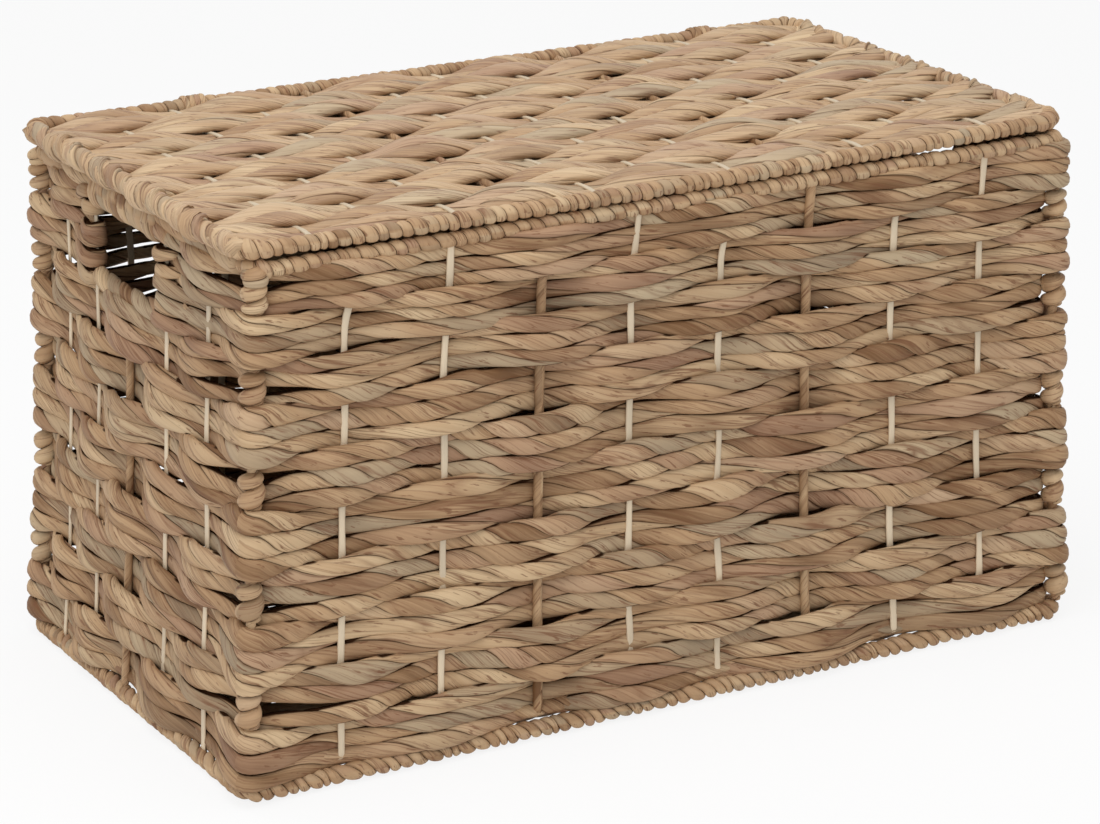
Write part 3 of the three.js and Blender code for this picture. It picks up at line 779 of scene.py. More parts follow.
def add_piece(name, grids, look, body, node, settled=None):
    """A finished piece: its settled mesh, finish, body, and the frame node that it stands for."""
    settled = settled or (settled_lid if body == "lid" else settled_box)
    for made in grids:
        made["points"] = settled(made["points"])
    piece = bpy.data.objects.new(name, build_mesh(name, grids))
    bpy.context.scene.collection.objects.link(piece)
    piece.data.materials.append(finish(look))
    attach(piece, body)
    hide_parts(node)


def add_strip(node, body, route, side, width, draw, tone=MIDDLE):
    """A flat strip in the place of a stake."""
    made = strip(route, side, width, settings().bindings.strip_thickness, draw, tone)
    add_piece(node.replace("stake", "strip"), [made], "cane_strip", body, node)


def add_wrapped_stake(node, body, route, side, radius, draw):
    """Leaf wound in wide, shallow turns in the place of a stake."""
    pitch = settings().bindings.stake_pitch
    made = wound(route, False, side, radius, pitch, columns=10, draw=draw, groove=0.2)
    add_piece(node.replace("stake", "wrapped_stake"), [made], "stake_leaf", body, node)


# Finishes

BLACK = (0.0, 0.0, 0.0)
WHITE = (1.0, 1.0, 1.0)

# The colour sockets of a mix node
MIX_SHARE, MIX_FIRST, MIX_SECOND, MIX_RESULT = 0, 6, 7, 2


def set_socket(tree, socket, value):
    """The socket linked to another one, or set to a plain value."""
    if isinstance(value, bpy.types.NodeSocket):
        tree.links.new(value, socket)
    else:
        socket.default_value = value


def shader_node(tree, kind, **inputs):
    """A shader node with its input values or links set by name."""
    made = tree.nodes.new(kind)
    for name, value in inputs.items():
        set_socket(tree, made.inputs[name.replace("_", " ")], value)
    return made


def math_node(tree, operation, *values, clamp=False):
    made = tree.nodes.new("ShaderNodeMath")
    made.operation = operation
    made.use_clamp = clamp
    for socket, value in zip(made.inputs, values):
        set_socket(tree, socket, value)
    return made.outputs[0]


def mixed(tree, base, share, colour):
    """The base colour mixed with another one, by a share that changes over the surface."""
    made = tree.nodes.new("ShaderNodeMix")
    made.data_type = "RGBA"
    tree.links.new(share, made.inputs[MIX_SHARE])
    tree.links.new(base, made.inputs[MIX_FIRST])
    made.inputs[MIX_SECOND].default_value = (*colour, 1.0)
    return made.outputs[MIX_RESULT]


def ramp(tree, value, *stops):
    """A colour ramp through the given places and colours."""
    made = shader_node(tree, "ShaderNodeValToRGB", Fac=value)
    elements = made.color_ramp.elements
    while len(elements) < len(stops):
        elements.new(1.0)
    for element, (place, colour) in zip(elements, stops):
        element.position = place
        element.color = (*colour, 1.0)
    return made.outputs[0]


def strand_place(tree, across, along):
    """The piece's strand map, stretched to so many cells in a metre across the strand and along it."""
    place = tree.nodes.new("ShaderNodeUVMap")
    place.uv_map = "Strand"
    mapping = shader_node(tree, "ShaderNodeMapping", Vector=place.outputs[0], Scale=(across, along, 1.0))
    return mapping.outputs[0]


def strand_noise(tree, across, along, detail):
    """Noise drawn out along the leaf."""
    return shader_node(tree, "ShaderNodeTexNoise", Vector=strand_place(tree, across, along),
                       Scale=1.0, Detail=detail, Roughness=0.55).outputs[0]


def strand_cells(tree, across, along, feature, output):
    """Long cells drawn out along the leaf."""
    cells = shader_node(tree, "ShaderNodeTexVoronoi", Vector=strand_place(tree, across, along), Scale=1.0)
    cells.voronoi_dimensions = "2D"
    cells.feature = feature
    return cells.outputs[output]


def attribute(tree, name):
    made = tree.nodes.new("ShaderNodeAttribute")
    made.attribute_name = name
    return made.outputs["Fac"]


def new_material(name):
    """A material with an empty principled shader. Returns it, its tree and the shader."""
    material = bpy.data.materials.new(name)
    material.use_nodes = True
    return material, material.node_tree, material.node_tree.nodes["Principled BSDF"]


def dress(tree, shader, **inputs):
    """Links to a principled shader's inputs, by name."""
    for name, value in inputs.items():
        tree.links.new(value, shader.inputs[name.replace("_", " ")])


def raised(tree, height, strength, distance):
    """The surface direction where a height stands up by so much."""
    return shader_node(tree, "ShaderNodeBump", Height=height, Strength=strength, Distance=distance).outputs[0]


def leaf_material(name, lighter, grain, gloss, stain_from, crease_shade, split_shade, touch_shade):
    """Dried leaf: a ramp from brown to pale read by each length's own tone, by the slivers that the
    leaf is folded into and by streaks along it, tinted towards rose or green, with thin dark lines
    between slivers, dark fibres and flecks and brown stains. Over these goes painted shade, a much
    darkened stain colour, in the creases and along the lines where ropes touch. The painted shade has no
    gloss."""
    colours = settings().colours
    material, tree, shader = new_material(name)

    def scaled(value, share):
        return math_node(tree, "MULTIPLY", value, share)

    def scaled_plus(value, share, start, clamp=False):
        return math_node(tree, "MULTIPLY_ADD", value, share, start, clamp=clamp)

    fine = strand_noise(tree, across=700.0, along=13.0, detail=4.0)
    broad = strand_noise(tree, across=230.0, along=9.0, detail=3.0)
    sliver = strand_cells(tree, 170.0, 9.0, "F1", "Color")
    sliver_edge = strand_cells(tree, 170.0, 9.0, "DISTANCE_TO_EDGE", "Distance")
    fine_share, broad_share, sliver_share = 0.6, 0.5, 0.35
    streaks = math_node(tree, "ADD", scaled(fine, fine_share), scaled(broad, broad_share))
    streaks = math_node(tree, "ADD", streaks, scaled(sliver, sliver_share))
    mean_streak = (fine_share + broad_share + sliver_share) / 2
    shade = math_node(tree, "ADD", attribute(tree, "tone"),
                      scaled_plus(streaks, grain, lighter - mean_streak * grain))
    base = ramp(tree, shade, (0.0, colours.brown_leaf), (0.46, colours.tan_leaf), (1.0, colours.pale_leaf))

    hue = attribute(tree, "hue")
    rose = scaled_plus(hue, -2.0, 0.7, clamp=True)
    green = scaled_plus(hue, 2.6, -1.65, clamp=True)
    base = mixed(tree, base, scaled(rose, 0.75), colours.rose_leaf)
    base = mixed(tree, base, scaled(green, 0.7), colours.green_leaf)

    spots = strand_noise(tree, across=210.0, along=18.0, detail=4.0)
    stain = ramp(tree, spots, (stain_from, BLACK), (stain_from + 0.08, WHITE))
    split = ramp(tree, sliver_edge, (0.0, WHITE), (0.07, BLACK))
    wander = strand_noise(tree, across=330.0, along=11.0, detail=1.0)
    off_middle = math_node(tree, "ABSOLUTE", math_node(tree, "SUBTRACT", wander, 0.5))
    patches = strand_noise(tree, across=70.0, along=10.0, detail=2.0)
    fibre = math_node(tree, "MULTIPLY", ramp(tree, off_middle, (0.0, WHITE), (0.03, BLACK)),
                      ramp(tree, patches, (0.41, BLACK), (0.54, WHITE)))
    specks = strand_noise(tree, across=520.0, along=75.0, detail=3.0)
    fleck = ramp(tree, specks, (0.61, BLACK), (0.66, WHITE))
    for mark, strength in ((stain, 0.7), (split, split_shade), (fibre, 0.75), (fleck, 0.7)):
        base = mixed(tree, base, scaled(mark, strength), colours.stain)

    # Painted shade: the creases and the lines where ropes touch darken to a much darkened stain colour and
    # lose their gloss
    touch_painted_shade = ramp(tree, attribute(tree, "touch_painted_shade"), (0.84, BLACK), (0.93, WHITE))
    deep = math_node(tree, "MAXIMUM", scaled(attribute(tree, "crease_painted_shade"), crease_shade),
                     scaled(touch_painted_shade, touch_shade))
    base = mixed(tree, base, deep, [0.18 * part for part in colours.stain])

    grooves = scaled(math_node(tree, "ADD", fibre, split), 0.3)
    height = math_node(tree, "SUBTRACT", streaks, grooves)
    dress(tree, shader, Base_Color=base, Roughness=scaled_plus(broad, 0.3, 0.45),
          Specular_IOR_Level=scaled_plus(deep, -gloss, gloss),
          Normal=raised(tree, height, strength=0.6, distance=0.0009))
    return material


def strip_material(name):
    """Split cane: cream, with fine grain along the strip and a satin surface."""
    cream = settings().colours.strip
    material, tree, shader = new_material(name)
    grain = strand_noise(tree, across=2200.0, along=18.0, detail=3.0)
    lines = math_node(tree, "MULTIPLY_ADD", grain, 0.5, -0.25)
    shade = math_node(tree, "ADD", attribute(tree, "tone"), lines)
    base = ramp(tree, shade, (0.1, [0.72 * part for part in cream]), (0.7, cream))
    dress(tree, shader, Base_Color=base, Roughness=math_node(tree, "MULTIPLY_ADD", grain, 0.25, 0.4),
          Normal=raised(tree, grain, strength=0.3, distance=0.0005))
    return material


def wire_material(name):
    """Dull drawn wire: grey metal with a patchy film."""
    grey = settings().colours.wire
    material, tree, shader = new_material(name)
    place = tree.nodes.new("ShaderNodeTexCoord")
    film = shader_node(tree, "ShaderNodeTexNoise", Vector=place.outputs["Object"], Scale=160.0, Detail=4.0)
    base = ramp(tree, film.outputs[0], (0.3, [0.6 * part for part in grey]), (0.7, grey))
    dress(tree, shader, Base_Color=base, Roughness=math_node(tree, "MULTIPLY_ADD", film.outputs[0], 0.3, 0.3))
    shader.inputs["Metallic"].default_value = 1.0
    return material


# How much lighter than the usual each leaf is, how strong its streaks are, its gloss, the noise level that
# its stains start from, and how dark its painted crease shade, its splits and its painted shade where ropes
# touch are
LEAVES = {
    "wall_rope": {"lighter": -0.045, "grain": 0.9, "gloss": 0.22, "stain_from": 0.62,
                  "crease_shade": 1.0, "split_shade": 0.34, "touch_shade": 1.0},
    "lid_rope": {"lighter": 0.11, "grain": 0.95, "gloss": 0.5, "stain_from": 0.67,
                 "crease_shade": 0.7, "split_shade": 0.26, "touch_shade": 0.15},
    "post_rope": {"lighter": 0.06, "grain": 0.8, "gloss": 0.25, "stain_from": 0.69,
                  "crease_shade": 1.0, "split_shade": 0.15, "touch_shade": 0.0},
    "rim_leaf": {"lighter": 0.01, "grain": 0.45, "gloss": 0.3, "stain_from": 0.68,
                 "crease_shade": 1.0, "split_shade": 0.05, "touch_shade": 0.0},
    "stake_leaf": {"lighter": -0.10, "grain": 0.8, "gloss": 0.22, "stain_from": 0.70,
                   "crease_shade": 0.3, "split_shade": 0.1, "touch_shade": 0.0},
}
OTHER_FINISHES = {"cane_strip": strip_material, "frame_wire": wire_material}


def finish(name):
    """The named finish, made once."""
    made = bpy.data.materials.get(name)
    if made:
        return made
    if name in LEAVES:
        return leaf_material(name, **LEAVES[name])
    return OTHER_FINISHES[name](name)


# Walls

# The radius of a rope's bend inside a post, and how closely it hugs the post, as a share of touching it
INNER_BEND = 0.012
INNER_HUG = 0.8

# How far from a stake's face a rope's middle runs, as a share of the rope's depth
STAKE_HUG = 0.44

# The end of a rope at a handle hole: the length of its tail, how wide it turns, and how far its tip dives
TAIL = 0.024
HOOK_WIDTH = 0.6
TAIL_DIVE = 1.3


class Wall:
    """One wall in the order that a rope runs round the box, from its first corner."""

    def __init__(self, corner, along, stakes, first):
        self.corner = np.array(corner)
        self.along = np.array(along)
        self.outward = np.array([self.along[1], -self.along[0]])
        places = [(middle(name)[:2] - self.corner) @ self.along for name in stakes]
        order = np.argsort(places)
        self.stakes = np.array(places)[order]
        self.wrapped = [is_wrapped(stakes[number]) for number in order]
        self.first = first

    def point(self, along, out):
        return (self.corner + np.multiply.outer(along, self.along)
                + np.multiply.outer(out, self.outward))


def box_walls():
    """Front, right, back and left. Stakes and corners are counted on from the front left corner."""
    long_stakes = nodes_named("long_stake_")
    right = nodes_named("right_stake_")
    left = nodes_named("left_stake_")
    right_first = len(long_stakes) + 1
    back_first = right_first + len(right) + 1
    left_first = back_first + len(long_stakes) + 1
    return [
        Wall((-HALF_LENGTH, -HALF_DEPTH), (1.0, 0.0), long_stakes, 0),
        Wall((HALF_LENGTH, -HALF_DEPTH), (0.0, 1.0), right, right_first),
        Wall((HALF_LENGTH, HALF_DEPTH), (-1.0, 0.0), long_stakes, back_first),
        Wall((-HALF_LENGTH, HALF_DEPTH), (0.0, -1.0), left, left_first),
    ]


def passes_outside(index, course):
    """A course passes outside one stake and inside the next, and the next course does the opposite."""
    return (index + COURSE_COUNT + 1 - course) % 2 == 0


def corner_knot(corner_index, course):
    """Where a wall's straight run begins next to a corner: along the wall, and out from it."""
    ropes = settings().ropes
    if passes_outside(corner_index, course):
        return 0.0, ropes.corner_hug
    reach = INNER_HUG * (ropes.post_width + ropes.wall_depth) / 2
    inset = (reach + INNER_BEND) / math.sqrt(2) - INNER_BEND
    return inset + INNER_BEND, -inset


def stake_out(wall, number, course):
    """How far out a rope runs as it passes a stake, counted from one along the wall."""
    bindings = settings().bindings
    thick = bindings.wrapped_radius if wall.wrapped[number - 1] else bindings.strip_thickness / 2
    out = thick + STAKE_HUG * settings().ropes.wall_depth
    return out if passes_outside(wall.first + number, course) else -out


def wall_run(walls, number, course, first, last):
    """Along one wall between two stakes: half cosine waves, out past one stake and in past the next.
    Stake 0 is the first corner, and the one past the last stake is the next corner."""
    wall = walls[number]
    count = len(wall.stakes)
    whole = 2 * (HALF_LENGTH if number % 2 == 0 else HALF_DEPTH)
    knots = []
    outs = []
    for stake in range(first, last + 1):
        if stake == 0:
            along, out = corner_knot(wall.first, course)
        elif stake == count + 1:
            along, out = corner_knot(wall.first + count + 1, course)
            along = whole - along
        else:
            along, out = wall.stakes[stake - 1], stake_out(wall, stake, course)
        knots.append(along)
        outs.append(out)
    places = np.arange(knots[0], knots[-1], FINE)
    return wall.point(places, eased(places, np.array(knots), np.array(outs)))


def corner_bend(walls, number, course):
    """A quarter circle from the wall before to this wall: round the outside of the post, or inside it."""
    wall = walls[number]
    before = walls[number - 1]
    turn = np.linspace(0.0, math.pi / 2, 20)[1:-1]
    way = np.multiply.outer(np.cos(turn), before.outward) + np.multiply.outer(np.sin(turn), wall.outward)
    along, out = corner_knot(wall.first, course)
    if out > 0:
        return wall.corner + out * way
    return wall.point(along, out - INNER_BEND) + INNER_BEND * way


def turn_back(wall, stake, course, way):
    """Half round a stake and back behind it, into the weave: the end of a rope at a handle hole."""
    place, out = wall.stakes[stake - 1], stake_out(wall, stake, course)
    angle = np.linspace(0.0, math.pi, 24)
    hook = wall.point(place + way * HOOK_WIDTH * abs(out) * np.sin(angle), out * np.cos(angle))
    tail = np.arange(FINE, TAIL, FINE)
    behind = wall.point(place - way * tail, out * (TAIL_DIVE * (tail / tail[-1]) ** 2 - 1))
    return np.vstack([hook, behind])


def ring_path(walls, course):
    """A whole ring round the box."""
    parts = []
    for number, wall in enumerate(walls):
        parts.append(corner_bend(walls, number, course))
        parts.append(wall_run(walls, number, course, 0, len(wall.stakes) + 1))
    return np.vstack(parts)


def half_path(walls, long_wall, course):
    """The front or back half that the handle holes leave, turned back round the stakes beside them."""
    into = (long_wall - 1) % 4
    out = (long_wall + 1) % 4
    last = len(walls[out].stakes) // 2
    first = len(walls[into].stakes) + 1 - last
    return np.vstack([
        turn_back(walls[into], first, course, -1.0)[::-1],
        wall_run(walls, into, course, first, len(walls[into].stakes) + 1)[1:],
        corner_bend(walls, long_wall, course),
        wall_run(walls, long_wall, course, 0, len(walls[long_wall].stakes) + 1),
        corner_bend(walls, out, course),
        wall_run(walls, out, course, 0, last),
        turn_back(walls[out], last, course, 1.0),
    ])


def crossings(walls, course):
    """Where the course passes inside a stake or a corner post, and whether it is a corner."""
    spots = []
    for wall in walls:
        if not passes_outside(wall.first, course):
            spots.append((wall.corner, True))
        for number, place in enumerate(wall.stakes, start=1):
            if not passes_outside(wall.first + number, course):
                spots.append((wall.point(place, 0.0), False))
    return spots


# Where a course passes inside a post or a stake: the least and most reach along the wall over which its
# ropes part, and the least and most gap between them. The parting's middle is off the stake by up to the
# offset, the right half is woven tighter, and a share of the gap comes off the ropes' own height.
POST_PARTING = ((0.045, 0.07), (0.005, 0.009))
STAKE_PARTING = ((0.02, 0.045), (0.0, 0.0016))
PARTING_OFFSET = 0.01
RIGHT_HALF_PARTING = 0.6
PARTING_THINS = 0.6

# How much taller a course is where it stands out or in, and how far out, in half depths of a rope, its top
# rope still touches the next course and keeps the full painted shade along its top
STAKE_FILL = 0.08
TOUCH_OUT = 0.45

# Next to a corner, and at the ends beside a handle hole: the reach, and what it adds or takes
CORNER_REACH = 0.03
BEND_FILL = 0.1
CORNER_FLATTENS, BEND_DEEPENS = 0.2, 0.3
END_FILL, END_DEPTH = 0.3, 0.15
END_SPREAD, END_LIFT = 0.010, 0.003

# The back wall is woven looser near its left end: the place's middle, its reach, and how much thinner its
# ropes are. A path is in the back wall where it lies so far back, as a share of the half depth.
LOOSE_X, LOOSE_REACH, LOOSE_THINS = -0.195, 0.075, 0.34
BACK_WALL_FROM = 0.9

# How the ropes of a course wander in their shares of its height, up and down, and in and out
SHARE_WANDER, SHARE_WAVE = 0.08, 0.16
LEAST_SHARE, MOST_SHARE = 0.72, 1.3
COURSE_SWAY, COURSE_WAVE = 0.0010, 0.2
ROPE_SWAY, ROPE_WAVE = 0.0005, 0.1

# The least and most pitch of a wall rope, as shares of the usual
PITCH_RANGE = (0.8, 1.3)


def partings(spots, path, marks, length, count, draw):
    """How far each rope of a course moves up or down where two of them part, at the spots where the course
    passes inside a post or a stake, and how much thinner the course's ropes are there."""
    parting = np.zeros((count, len(marks)))
    thinner = np.zeros(len(marks))
    for spot, is_corner in spots:
        nearest = marks[np.argmin(np.linalg.norm(path - spot, axis=1))]
        gap = np.mod(marks - nearest + length / 2, length) - length / 2
        reaches, gaps = POST_PARTING if is_corner else STAKE_PARTING
        reach = draw.uniform(*reaches)
        part = draw.uniform(*gaps) * (RIGHT_HALF_PARTING if spot[0] > 0 else 1.0)
        hump = bump(gap, draw.uniform(-PARTING_OFFSET, PARTING_OFFSET), reach)
        above = np.arange(count) >= draw.integers(1, count)
        parting += np.where(above, part / 2, -part / 2)[:, None] * hump
        thinner += PARTING_THINS * part / COURSE_HEIGHT * hump
    return parting, thinner


def course_grids(walls, course, flat_path, closed, draw):
    """The ropes of one course, one above the other on a shared way round. The course spreads where
    it passes a stake, in front of its neighbours or behind them, its ropes share its height unevenly, and
    where it passes inside a post two of them part."""
    ropes = settings().ropes
    path, marks, length = evenly_spaced(flat_path, FINE, closed)
    count = ropes.ropes_in_course
    space = COURSE_HEIGHT / count
    outside = np.max(np.abs(path) - (HALF_LENGTH, HALF_DEPTH), axis=1)
    standing_out = outside / (0.5 * ropes.wall_depth)
    under_next = 1 - np.clip(standing_out - TOUCH_OUT, 0.0, 1.0)
    parting, thinner = partings(crossings(walls, course), path, marks, length, count, draw)
    fill = 1 + STAKE_FILL * np.clip(np.abs(standing_out), 0.0, 1.0) - thinner
    corner_gaps = [np.linalg.norm(path - wall.corner, axis=1) for wall in walls]
    corner = bump(np.min(corner_gaps, axis=0), 0.0, CORNER_REACH)
    bent = corner * (outside > 0)
    fill += BEND_FILL * bent
    deep = 1 - CORNER_FLATTENS * corner + BEND_DEEPENS * bent
    ends = np.zeros(len(marks))
    if not closed:
        ends = bump(marks, 0.0, CORNER_REACH) + bump(marks, length, CORNER_REACH)
        fill -= END_FILL * ends
        deep -= END_DEPTH * ends
    loose = bump(path[:, 0], LOOSE_X, LOOSE_REACH) * (path[:, 1] > BACK_WALL_FROM * HALF_DEPTH)
    thin = 1 - LOOSE_THINS * loose
    shares = 1 + SHARE_WANDER * np.array([drift(marks, length, SHARE_WAVE, draw) for _ in range(count)])
    shares = np.clip(shares, LEAST_SHARE, MOST_SHARE)
    shares /= shares.mean(axis=0)
    centres = (np.cumsum(shares, axis=0) - shares / 2 - count / 2) * space * fill
    level = WALL_FLOOR + (course - 0.5) * COURSE_HEIGHT
    sway = COURSE_SWAY * drift(marks, length, COURSE_WAVE, draw)
    grids = []
    for number in range(count):
        z = level + centres[number] + parting[number] + sway
        shift = ROPE_SWAY * drift(marks, length, ROPE_WAVE, draw)
        out, _ = section_axes(np.column_stack([path, z]), AXIS_Z, closed)
        flat = path + shift[:, None] * out[:, :2]
        flat[:, 1] += draw.uniform(-END_SPREAD, END_SPREAD) * ends
        z += draw.uniform(-END_LIFT, END_LIFT) * ends
        # The top rope of a course gets painted shade along its top only as closely as it lies under the next
        # course
        closeness = under_next if number == count - 1 else np.ones(len(marks))
        way = np.column_stack([flat, z, shares[number] * fill * thin, deep, closeness])
        pitch = ropes.pitch * draw.uniform(*PITCH_RANGE)
        grids.append(rope(way, closed, AXIS_Z, ropes.wall_depth / 2, ropes.wall_fill * space / 2, pitch,
                          spacing=0.003, draw=draw, roundness=0.88, variety=0.21, packed=True))
    return grids


class WOVENBOX_OT_wall_ropes(bpy.types.Operator):
    """Weave the ropes of the ten wall courses"""

    bl_idname = "wovenbox.wall_ropes"
    bl_label = "Wall ropes"

    def execute(self, context):
        walls = box_walls()
        long_walls = {"front": 0, "back": 2}
        for node in nodes_named("wall_course_"):
            course = int(node.split("_")[2])
            half = node.split("_")[-1]
            draw = drawn("courses", course, len(node), ord(node[-1]))
            whole = half not in long_walls
            path = ring_path(walls, course) if whole else half_path(walls, long_walls[half], course)
            grids = course_grids(walls, course, path, whole, draw)
            add_piece(node.replace("wall_course", "course_ropes"), grids, "wall_rope", "box", node)
        return {"FINISHED"}


# A post's core as a share of its width, and how far a pair of knuckles reaches from its middle, as a share
# of a course. The ball on its top has a share of the post's width, a drop below the rim, and a taper.
POST_CORE = 0.45
KNUCKLE_REACH = 0.37
BALL_SIZE, BALL_DROP, BALL_TAPER = 1.08, 0.0055, 0.9


def upright(corner, low, high):
    """A line up a corner of the box."""
    return np.array([(*corner, low), (*corner, high)])


class WOVENBOX_OT_corner_posts(bpy.types.Operator):
    """Wind the thick knuckled post on each corner"""

    bl_idname = "wovenbox.corner_posts"
    bl_label = "Corner posts"

    def execute(self, context):
        ropes = settings().ropes
        half = ropes.post_width / 2
        reach = KNUCKLE_REACH * COURSE_HEIGHT
        for wall in box_walls():
            draw = drawn("posts", wall.first)
            node = next(name for name in nodes_named("corner_post_")
                        if np.allclose(middle(name)[:2], wall.corner, atol=0.001))
            core = upright(wall.corner, WALL_FLOOR, WALL_FLOOR + COURSE_COUNT * COURSE_HEIGHT)
            grids = [wound(core, False, AXIS_Y, POST_CORE * half, pitch=0.012, columns=12, draw=draw,
                           groove=0.5)]
            for course in range(1, COURSE_COUNT + 1):
                if passes_outside(wall.first, course):
                    continue
                z = WALL_FLOOR + (course - 0.5) * COURSE_HEIGHT
                grids.append(wound(upright(wall.corner, z - reach, z + reach), False, AXIS_Y, half,
                                   pitch=2 * reach / ropes.knuckles_in_course, columns=24, draw=draw,
                                   groove=2.4, uneven=0.12))
            if not passes_outside(wall.first, COURSE_COUNT):
                rise = np.linspace(-half, half, 40)
                foot = np.broadcast_to(wall.corner, (len(rise), 2))
                ball = np.column_stack([foot, TOP_RIM_Z - BALL_DROP + rise,
                                        np.sqrt(1 - BALL_TAPER * (rise / half) ** 2)])
                grids.append(wound(ball, False, AXIS_Y, BALL_SIZE * half, pitch=0.008, columns=24, draw=draw,
                                   groove=0.5))
            add_piece(node.replace("post", "knuckles"), grids, "post_rope", "box", node)
        return {"FINISHED"}


# A long stake's tips lean to the right by at least and at most so much, from a neck so far below them, and
# it bends round the floor's edges. The ends of the stakes are tucked into the rims.
STAKE_LEAN = (0.001, 0.008)
STAKE_NECK = 0.045
STAKE_BEND = 0.005
TOP_TUCK, BOTTOM_TUCK = 0.004, 0.003


class WOVENBOX_OT_stakes(bpy.types.Operator):
    """Set the flat strips and the leaf-wrapped stakes of the walls"""

    bl_idname = "wovenbox.stakes"
    bl_label = "Wall stakes"

    def execute(self, context):
        bindings = settings().bindings
        stakes = nodes_named("long_stake_") + nodes_named("left_stake_") + nodes_named("right_stake_")
        for number, node in enumerate(stakes):
            draw = drawn("stakes", number)
            low, high, (x, y, _) = low_corner(node), high_corner(node), middle(node)
            thick = bindings.wrapped_radius if is_wrapped(node) else bindings.strip_thickness / 2
            reaches_rim = high[2] > TOP_RIM_Z - 2 * RIM_RADIUS
            top = high[2] + (TOP_TUCK if reaches_rim else 0.0)
            if node.startswith("long"):
                foot = low[2] + thick
                tip = x + draw.uniform(*STAKE_LEAN)
                neck = top - STAKE_NECK
                route = filleted([(tip, -HALF_DEPTH, top), (x, -HALF_DEPTH, neck), (x, -HALF_DEPTH, foot),
                                  (x, HALF_DEPTH, foot), (x, HALF_DEPTH, neck), (tip, HALF_DEPTH, top)],
                                 STAKE_BEND)
                side = AXIS_X
            else:
                route = np.array([(x, y, top), (x, y, low[2] - BOTTOM_TUCK)])
                side = AXIS_Y if x > 0 else -AXIS_Y
            if is_wrapped(node):
                add_wrapped_stake(node, "box", route, side, thick, draw)
            else:
                add_strip(node, "box", route, side, bindings.strip_width, draw)
        return {"FINISHED"}


# Rims and handles

# How far a wound rim runs on round a corner, and the bends of the three wires and their wraps
RIM_END = 0.016
TOP_BEND, BOTTOM_BEND, LID_WIRE_BEND, LID_BEND = 0.008, 0.010, 0.012, 0.016

# How much thicker a rim is at its corners, the reach of that, and how far the bottom rim rises there
TOP_KNOB, TOP_KNOB_REACH = 0.4, 0.015
BOTTOM_KNOB, BOTTOM_KNOB_REACH, BOTTOM_KNOB_RISE = 0.2, 0.025, 0.0009
LID_KNOB, LID_KNOB_REACH = 0.3, 0.022


def corner_knob(path, reach):
    """1 at the box's corners, falling to 0 at the reach."""
    off_corner = np.linalg.norm(np.abs(path[:, :2]) - (HALF_LENGTH, HALF_DEPTH), axis=1)
    return bump(off_corner, 0.0, reach)


def rim_route(start, end, y, inner, z, bend):
    """Along a front or back rim, with its two ends turned inwards round the corners."""
    line = filleted([(start, inner, z), (start, y, z), (end, y, z), (end, inner, z)], bend)
    path, _, _ = evenly_spaced(line, FINE, False)
    return path


class WOVENBOX_OT_rims(bpy.types.Operator):
    """Wind the leaf on the top and bottom rims"""

    bl_idname = "wovenbox.rims"
    bl_label = "Rims"

    def execute(self, context):
        bindings = settings().bindings
        z = WOUND_RIM_Z
        grids = []
        for number, way in enumerate((1.0, -1.0)):
            draw = drawn("top_rim", number)
            x, y, inner = way * HALF_LENGTH, way * HALF_DEPTH, way * (HALF_DEPTH - RIM_END)
            path = rim_route(-x, x, -y, -inner, z, TOP_BEND)
            path = np.column_stack([path, 1 + TOP_KNOB * corner_knob(path, TOP_KNOB_REACH)])
            grids.append(wound(path, False, AXIS_Z, bindings.rim_radius, bindings.rim_pitch, columns=16,
                               draw=draw, groove=1.3, uneven=0.25))
            short_side = np.array([(x, -inner, z), (x, inner, z)])
            grids.append(rope(short_side, False, AXIS_Z, half_out=0.0060, half_side=0.0068, pitch=0.08,
                              spacing=0.002, draw=draw))
        add_piece("top_rim_leaf", grids, "rim_leaf", "box", "top_rim_wrap")
        loop, _, _ = evenly_spaced(rim_loop(HALF_LENGTH, HALF_DEPTH, BOTTOM_BEND, BOTTOM_RIM_Z), FINE, True)
        knob = corner_knob(loop, BOTTOM_KNOB_REACH)
        loop[:, 2] += BOTTOM_KNOB_RISE * knob
        loop = np.column_stack([loop, 1 + BOTTOM_KNOB * knob])
        made = wound(loop, True, AXIS_Z, bindings.bottom_rim_radius, bindings.bottom_rim_pitch, columns=16,
                     draw=drawn("bottom_rim"), groove=1.8, uneven=0.22, starts=2)
        add_piece("bottom_rim_leaf", [made], "rim_leaf", "box", "bottom_rim_wrap")
        return {"FINISHED"}


# How far a grip's middle lies below its solid's, how many times as tall as deep it is, and how far a sill
# runs on past its solid at each end
GRIP_DROP = 0.0045
GRIP_TALL = 1.45
SILL_TUCK = 0.006


def across_wall(node, way, longer, drop):
    """A line along a grip or a sill, longer than its solid at each end and lower than its middle."""
    x, y, z = middle(node)
    reach = way * (extent(node)[1] / 2 + longer)
    return np.array([(x, y - reach, z - drop), (x, y + reach, z - drop)])


class WOVENBOX_OT_handles(bpy.types.Operator):
    """Bind the two handle grips and twist the sills under the hand holes"""

    bl_idname = "wovenbox.handles"
    bl_label = "Handles"

    def execute(self, context):
        for number, (side, way) in enumerate((("left", -1.0), ("right", 1.0))):
            draw = drawn("handles", number)
            node = f"handle_grip_{side}"
            made = wound(across_wall(node, way, 0.0, GRIP_DROP), False, AXIS_Z, extent(node)[2] / 2,
                         settings().bindings.grip_pitch, columns=20, draw=draw,
                         groove=0.7, uneven=0.3, tall=GRIP_TALL)
            add_piece(f"grip_leaf_{side}", [made], "rim_leaf", "box", node)
            node = f"handle_sill_{side}"
            half = extent(node)[2] / 2
            made = rope(across_wall(node, way, SILL_TUCK, 0.0), False, AXIS_Z, half, half, pitch=0.045,
                        spacing=0.0015, draw=draw, crease_depth=1.4, uneven=1.5)
            add_piece(f"sill_rope_{side}", [made], "wall_rope", "box", node)
        return {"FINISHED"}


# Base

